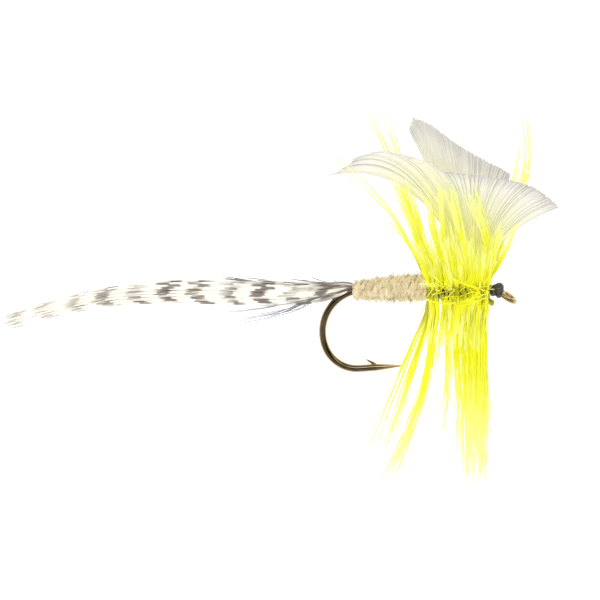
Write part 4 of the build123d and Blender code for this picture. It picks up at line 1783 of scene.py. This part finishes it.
# ---------------------------------------------------------------- studio
@dataclass
class Studio:
    """A pale floor far below, a soft white surround, two soft lights, a small bright one and the camera.

    A lamp is its name, its place and width in metres, and its power in watts. The floor's reach is in metres,
    and angles are in degrees.
    """

    view_width: float = 41.8
    lens: float = 180.0
    sensor: float = 36.0
    azimuth: float = 8.0
    elevation: float = 11.0
    aim: tuple[float, float, float] = (-14.49, 0.0, -0.21)
    floor_drop: float = 70.0
    floor_reach: float = 9.0
    lamps: tuple[tuple[str, Point, float, float], ...] = (
        ("key", (-0.06, -0.30, 0.34), 0.26, 0.50),
        ("fill", (-0.34, -0.26, 0.02), 0.22, 0.10),
        ("glint", (-0.03, -0.30, 0.26), 0.03, 0.035),
    )

    def build(self) -> None:
        """Sets the studio up."""
        self._floor()
        self._world()
        self._lights()
        self._camera()
        bpy.context.scene.view_settings.view_transform = "Standard"

    def _floor(self) -> None:
        """The floor."""
        low = CAD_BOX[0][2] - self.floor_drop * MM
        size = self.floor_reach
        mesh = bpy.data.meshes.new("floor")
        corners = [(-size, -size, low), (size, -size, low), (size, size, low), (-size, size, low)]
        mesh.from_pydata(corners, [], [(0, 1, 2, 3)])
        piece("floor", mesh, Dress.FLOOR, smooth=False)

    def _world(self) -> None:
        """White all round, darker in front so that polished wire has a dark core, with a bright strip above.

        The strip and the wider dark are there only for gloss.
        """
        world = bpy.data.worlds.new("studio_white")
        bpy.context.scene.world = world
        world.use_nodes = True
        world.node_tree.nodes.clear()
        graph = Graph(world.node_tree)
        way = graph.node("ShaderNodeTexCoord", out="Generated")
        front = graph.dot(way, (0.10, -0.99, 0.12))
        high = graph.dot(way, (0.0, 0.0, 1.0))
        gloss = graph.node("ShaderNodeLightPath", out="Is Glossy Ray")
        soft = front.step(0.55, 0.93)
        dark = soft + (front.step(0.25, 0.60) - soft) * gloss
        surround = graph.blend(dark, (1.0, 1.0, 1.0), (0.10, 0.10, 0.10))
        strip = (high.step(0.42, 0.50) - high.step(0.66, 0.74)) * front.step(0.30, 0.45) * gloss
        shade = graph.blend(strip, surround, (8.0, 7.1, 5.5))
        light = graph.node("ShaderNodeBackground", {}, {"Color": shade, "Strength": 1.0})
        graph.node("ShaderNodeOutputWorld", {}, {"Surface": light})

    def _lights(self) -> None:
        """A large soft light above in front, a smaller one from the left, and a small bright one for glints."""
        aim = Vector(self.aim) * MM
        for name, place, size, power in self.lamps:
            lamp = bpy.data.lights.new(name, "AREA")
            lamp.size = size
            lamp.energy = power
            made = bpy.data.objects.new(name, lamp)
            made.location = place
            made.rotation_euler = (aim - Vector(place)).to_track_quat("-Z", "Y").to_euler()
            bpy.context.scene.collection.objects.link(made)

    def _camera(self) -> None:
        """A long lens, a little above the shank and a little towards the eye's end."""
        data = bpy.data.cameras.new("camera")
        data.lens = self.lens
        data.sensor_width = self.sensor
        data.clip_start = 0.01
        data.clip_end = 10.0
        made = bpy.data.objects.new("camera", data)
        across, up = math.radians(self.azimuth), math.radians(self.elevation)
        away = Vector((math.sin(across) * math.cos(up), -math.cos(across) * math.cos(up), math.sin(up)))
        distance = self.view_width * MM * self.lens / self.sensor
        aim = Vector(self.aim) * MM
        made.location = aim + away * distance
        level = Matrix.Rotation(math.atan(math.tan(across) * math.sin(up)), 4, away)
        facing = (-away).to_track_quat("-Z", "Y").to_matrix().to_4x4()
        made.rotation_euler = (level.inverted() @ facing).to_euler()
        bpy.context.scene.collection.objects.link(made)
        bpy.context.scene.camera = made


# ---------------------------------------------------------------- the fly
def dress_frame() -> None:
    """Gives each CAD node that still shows its finish."""
    finishes = {
        "tail_tie_wraps": Dress.THREAD,
        "underbody_wraps": Dress.THREAD,
        "tail_butts": Dress.FLANK,
        "wing_butts": Dress.WEB,
    }
    for node, dress in finishes.items():
        mesh = frame["nodes"][node].data
        mesh.materials.clear()
        mesh.materials.append(dress.material())


NEAR_KEYS = (
    (0.00, -5.8, 10.3, -12.3, 8.70),
    (0.04, -5.5, 10.4, -11.5, 9.00),
    (0.055, -6.2, 11.4, -10.6, 9.60),
    (0.10, -5.9, 11.7, -10.3, 10.00),
    (0.18, -4.9, 11.6, -9.2, 10.35),
    (0.28, -4.1, 11.0, -7.6, 10.20),
    (0.38, -3.4, 9.9, -5.8, 9.80),
    (0.48, -2.8, 7.8, -4.2, 9.00),
    (0.60, -2.2, 6.8, -1.8, 8.72),
    (0.72, -1.6, 6.4, 0.3, 8.38),
    (0.84, -1.0, 6.2, 1.9, 7.88),
    (0.93, -0.6, 5.8, 3.0, 7.05),
    (1.00, -0.3, 5.1, 3.60, 6.40),
)
FAR_KEYS = (
    (0.00, -4.6, 7.6, -6.9, 11.4),
    (0.10, -4.3, 8.0, -6.6, 12.2),
    (0.30, -3.7, 7.6, -5.4, 11.75),
    (0.50, -3.1, 6.9, -3.8, 10.6),
    (0.70, -2.5, 6.2, -2.3, 9.7),
    (0.85, -1.9, 5.8, -0.9, 9.05),
    (1.00, -1.4, 5.2, 0.2, 8.4),
)
REAR_LOCKS = (
    # standing: the mass, then what covers the thorax, then single locks from the rear to the front
    Lock(((-5.55, 0), (-5.9, 2.3), (-6.5, 4.3), (-7.0, 6.0)),
         ((-2.85, 0), (-2.7, 2.5), (-2.75, 4.8), (-2.9, 6.9)), (-38, 38), 44, shortest=0.6),
    Lock(((-5.66, 0), (-5.8, 1.9), (-6.1, 3.6), (-6.5, 5.0)),
         ((-2.45, 0), (-2.2, 1.9), (-2.2, 3.6), (-2.3, 5.2)), (15, 32), 70, (55, 112), 0.35),
    Lock(((-5.62, 0), (-5.95, 1.9), (-6.6, 3.9), (-7.6, 5.9), (-9.2, 8.1), (-10.6, 9.5), (-12.1, 11.3)),
         ((-5.56, 0), (-5.85, 1.9), (-6.5, 3.9), (-7.4, 6.0), (-9.0, 8.2), (-10.4, 9.6), (-11.8, 11.4)),
         (18, 24), 2, shortest=0.9, thick=0.034),
    Lock(((-5.6, 0), (-6.1, 2.0), (-7.2, 3.5), (-8.1, 4.5), (-9.0, 5.1)),
         ((-5.5, 0), (-5.8, 2.3), (-6.7, 4.0), (-7.4, 5.2), (-8.0, 6.1)), (5, 25), 4),
    Lock(((-5.5, 0), (-5.5, 2.2), (-6.2, 4.5), (-7.0, 6.9), (-7.9, 9.4)),
         ((-5.2, 0), (-5.2, 2.2), (-5.9, 4.5), (-6.5, 6.9), (-7.3, 9.5)),
         (8, 24), 9, shortest=0.8, thick=0.048),
    Lock(((-5.3, 0), (-5.6, 2.5), (-6.5, 6.0), (-7.9, 10.0), (-9.9, 15.0)),
         ((-5.2, 0), (-5.3, 2.6), (-6.1, 6.1), (-7.1, 10.2), (-8.9, 13.9)), (-10, 5), 4, shortest=0.88),
    Lock(((-4.9, 0), (-4.6, 2.5), (-5.2, 5.0), (-5.4, 7.2), (-6.2, 9.0)),
         ((-4.6, 0), (-4.3, 2.5), (-4.9, 5.0), (-5.1, 7.2), (-5.9, 9.1)), (0, 25), 7, shortest=0.8),
    Lock(((-4.5, 0), (-4.4, 3.2), (-4.5, 6.4), (-4.7, 8.9)),
         ((-4.2, 0), (-4.2, 3.2), (-4.2, 6.3), (-4.4, 8.8)), (0, 22), 7, shortest=0.8, thick=0.048),
    Lock(((-3.1, 0), (-2.9, 2.6), (-3.4, 4.8), (-3.9, 7.2), (-4.2, 8.6)),
         ((-2.9, 0), (-2.5, 2.6), (-3.0, 4.8), (-3.4, 7.2), (-3.8, 8.7)),
         (8, 24), 8, shortest=0.8, thick=0.048),
    # hanging
    Lock(((-5.6, 0), (-5.7, -0.9), (-7.8, -5.6), (-10.6, -12.1)),
         ((-5.4, 0), (-5.5, -0.9), (-7.5, -5.7), (-10.1, -12.3)), (-5, 12), 3, shortest=0.92, thick=0.034),
    Lock(((-5.5, 0), (-5.5, -0.9), (-6.9, -5.0), (-9.3, -11.6)),
         ((-5.2, 0), (-5.2, -0.9), (-6.5, -5.5), (-8.6, -12.5)), (-15, 15), 7, shortest=0.85, thick=0.034),
    Lock(((-5.3, 0), (-5.3, -1.5), (-5.7, -5.0), (-6.5, -7.6), (-9.2, -13.8)),
         ((-4.8, 0), (-4.8, -1.5), (-5.3, -5.0), (-5.9, -7.4), (-7.8, -12.8)),
         (5, 20), 9, shortest=0.8, thick=0.044),
    Lock(((-4.6, 0), (-4.5, -1.5), (-4.4, -4.5), (-4.6, -7.0), (-5.2, -10.3)),
         ((-4.2, 0), (-4.2, -1.5), (-4.1, -4.5), (-4.2, -7.2), (-4.6, -10.9)), (-10, 15), 6, thick=0.034),
    Lock(((-4.1, 0), (-4.0, -1.5), (-3.8, -4.0), (-3.7, -7.5), (-3.8, -12.2)),
         ((-3.7, 0), (-3.6, -1.5), (-3.4, -4.0), (-3.3, -7.5), (-3.2, -12.2)), (-12, 15), 7),
    Lock(((-3.6, 0), (-3.6, -1.2), (-3.2, -4.0), (-3.1, -7.9), (-3.3, -13.6)),
         ((-2.85, 0), (-2.4, -1.2), (-2.2, -4.0), (-2.2, -7.9), (-2.3, -14.1)), (-20, 24), 26),
    Lock(((-5.5, 0), (-5.4, -0.9), (-5.6, -2.4), (-5.9, -3.6)),
         ((-2.4, 0), (-2.4, -0.9), (-2.5, -2.4), (-2.5, -3.8)), (12, 28), 50, (50, 100), 0.35),
    # sideways, mostly to the far side
    Lock(((-5.5, 0), (-6.0, 2.3), (-6.9, 5.0), (-7.6, 7.5)),
         ((-2.9, 0), (-2.8, 2.5), (-2.6, 5.0), (-2.5, 7.5)), (-88, -40), 20, shortest=0.6),
    Lock(((-5.5, 0), (-5.9, -1.6), (-6.9, -4.5), (-7.6, -7.0)),
         ((-2.9, 0), (-2.8, -1.6), (-2.7, -4.5), (-2.6, -7.0)), (-88, -26), 18, shortest=0.6),
    Lock(((-5.0, 0), (-5.0, 2.3), (-5.1, 4.6), (-5.3, 7.0)),
         ((-2.9, 0), (-2.8, 2.5), (-2.7, 4.6), (-2.6, 7.0)), (44, 88), 14, shortest=0.6, thick=0.034),
    Lock(((-4.3, 0), (-4.2, -1.6), (-4.0, -4.0), (-3.9, -6.0)),
         ((-2.9, 0), (-2.8, -1.6), (-2.7, -4.0), (-2.6, -6.0)), (30, 86), 8, shortest=0.6, thick=0.034),
)
FRONT_LOCKS = (
    Lock(((-1.9, 0), (-2.3, 2.2), (-2.4, 4.2), (-2.4, 5.8)),
         ((-1.35, 0), (-0.8, 2.2), (-0.35, 4.0), (0.1, 5.6)), (-38, 38), 30, shortest=0.55),
    Lock(((-2.4, 0), (-2.5, 1.9), (-2.6, 3.4), (-2.7, 4.6)),
         ((-1.35, 0), (-0.9, 1.9), (-0.6, 3.2), (-0.4, 4.3)), (15, 32), 40, (55, 112), 0.35),
    Lock(((-1.8, 0), (-1.5, 2.6), (-1.5, 4.5), (-2.1, 6.5), (-2.7, 8.4)),
         ((-1.5, 0), (-1.2, 2.6), (-1.2, 4.5), (-1.8, 6.5), (-2.3, 8.4)),
         (8, 24), 8, shortest=0.8, thick=0.048),
    Lock(((-1.6, 0), (-1.2, 2.5), (-0.6, 4.5), (-0.4, 5.9)),
         ((-1.4, 0), (-1.0, 2.5), (-0.3, 4.5), (-0.1, 5.9)), (0, 25), 5),
    Lock(((-1.4, 0), (-0.9, 1.9), (-0.2, 3.4), (1.0, 5.9)), ((-1.33, 0), (-0.7, 1.9), (0.1, 3.4), (1.2, 6.0)),
         (10, 25), 4, shortest=0.85, thick=0.044),
    Lock(((-1.6, 0), (-0.9, 3.0), (0.3, 6.0), (1.1, 9.0), (0.8, 14.6)),
         ((-1.4, 0), (-0.7, 3.0), (0.6, 6.0), (1.4, 9.0), (1.2, 13.6)), (-24, -8), 4, shortest=0.85),
    Lock(((-1.6, 0), (-1.1, 3.0), (-0.4, 6.0), (0.3, 8.6), (0.45, 11.4)),
         ((-1.4, 0), (-0.5, 3.0), (0.5, 5.5), (1.5, 7.8), (2.6, 10.3)), (-26, -8), 7, shortest=0.82),
    Lock(((-1.9, 0), (-2.5, -1.2), (-2.5, -4.0), (-2.4, -7.9), (-2.4, -14.1)),
         ((-1.35, 0), (-1.5, -1.2), (-1.55, -4.0), (-1.6, -7.9), (-1.75, -14.2)),
         (-24, 24), 42, shortest=0.76),
    Lock(((-2.4, 0), (-2.7, -0.8), (-2.8, -2.4), (-2.8, -3.8)),
         ((-1.35, 0), (-1.4, -0.9), (-1.38, -2.4), (-1.4, -3.8)), (12, 28), 20, (50, 104), 0.4),
    Lock(((-1.9, 0), (-1.9, 2.3), (-1.7, 5.0), (-1.5, 7.5)),
         ((-1.35, 0), (-1.0, 2.5), (-0.5, 5.0), (0.0, 7.5)), (-88, -40), 8, shortest=0.6),
    Lock(((-1.9, 0), (-2.2, -1.6), (-2.9, -4.5), (-3.4, -7.0)),
         ((-1.35, 0), (-1.8, -1.6), (-2.5, -4.5), (-3.0, -7.0)), (-88, -26), 8, shortest=0.6),
    Lock(((-1.9, 0), (-1.9, 2.3), (-1.7, 4.6), (-1.6, 6.6)),
         ((-1.35, 0), (-1.0, 2.5), (-0.6, 4.6), (-0.2, 6.6)), (44, 88), 6, shortest=0.6, thick=0.034),
)


def main() -> None:
    """Builds the fly, piece by piece, then the studio round it."""
    dress_frame()
    sweep = SweepTree()
    HookWire().build()
    ThreadWork(sweep).build()
    DubbedBody(sweep).build()
    BarredTail(sweep).build()
    WingSlip("near_wing", "near_wing_slip", "near_wing_flex", -1, NEAR_KEYS, barbs=120, seed=31).build()
    WingSlip("far_wing", "far_wing_slip", "far_wing_flex", 1, FAR_KEYS, barbs=84, seed=37).build()
    Hackle("rear_hackle", sweep, REAR_LOCKS, seed=41).build()
    Hackle("front_hackle", sweep, FRONT_LOCKS, seed=43).build()
    LooseBarbs(sweep).build()
    bpy.data.node_groups.remove(sweep.tree)
    Studio().build()


if __name__ == "__main__":
    logging.basicConfig(level=logging.INFO, format="%(name)s %(message)s")
    main()
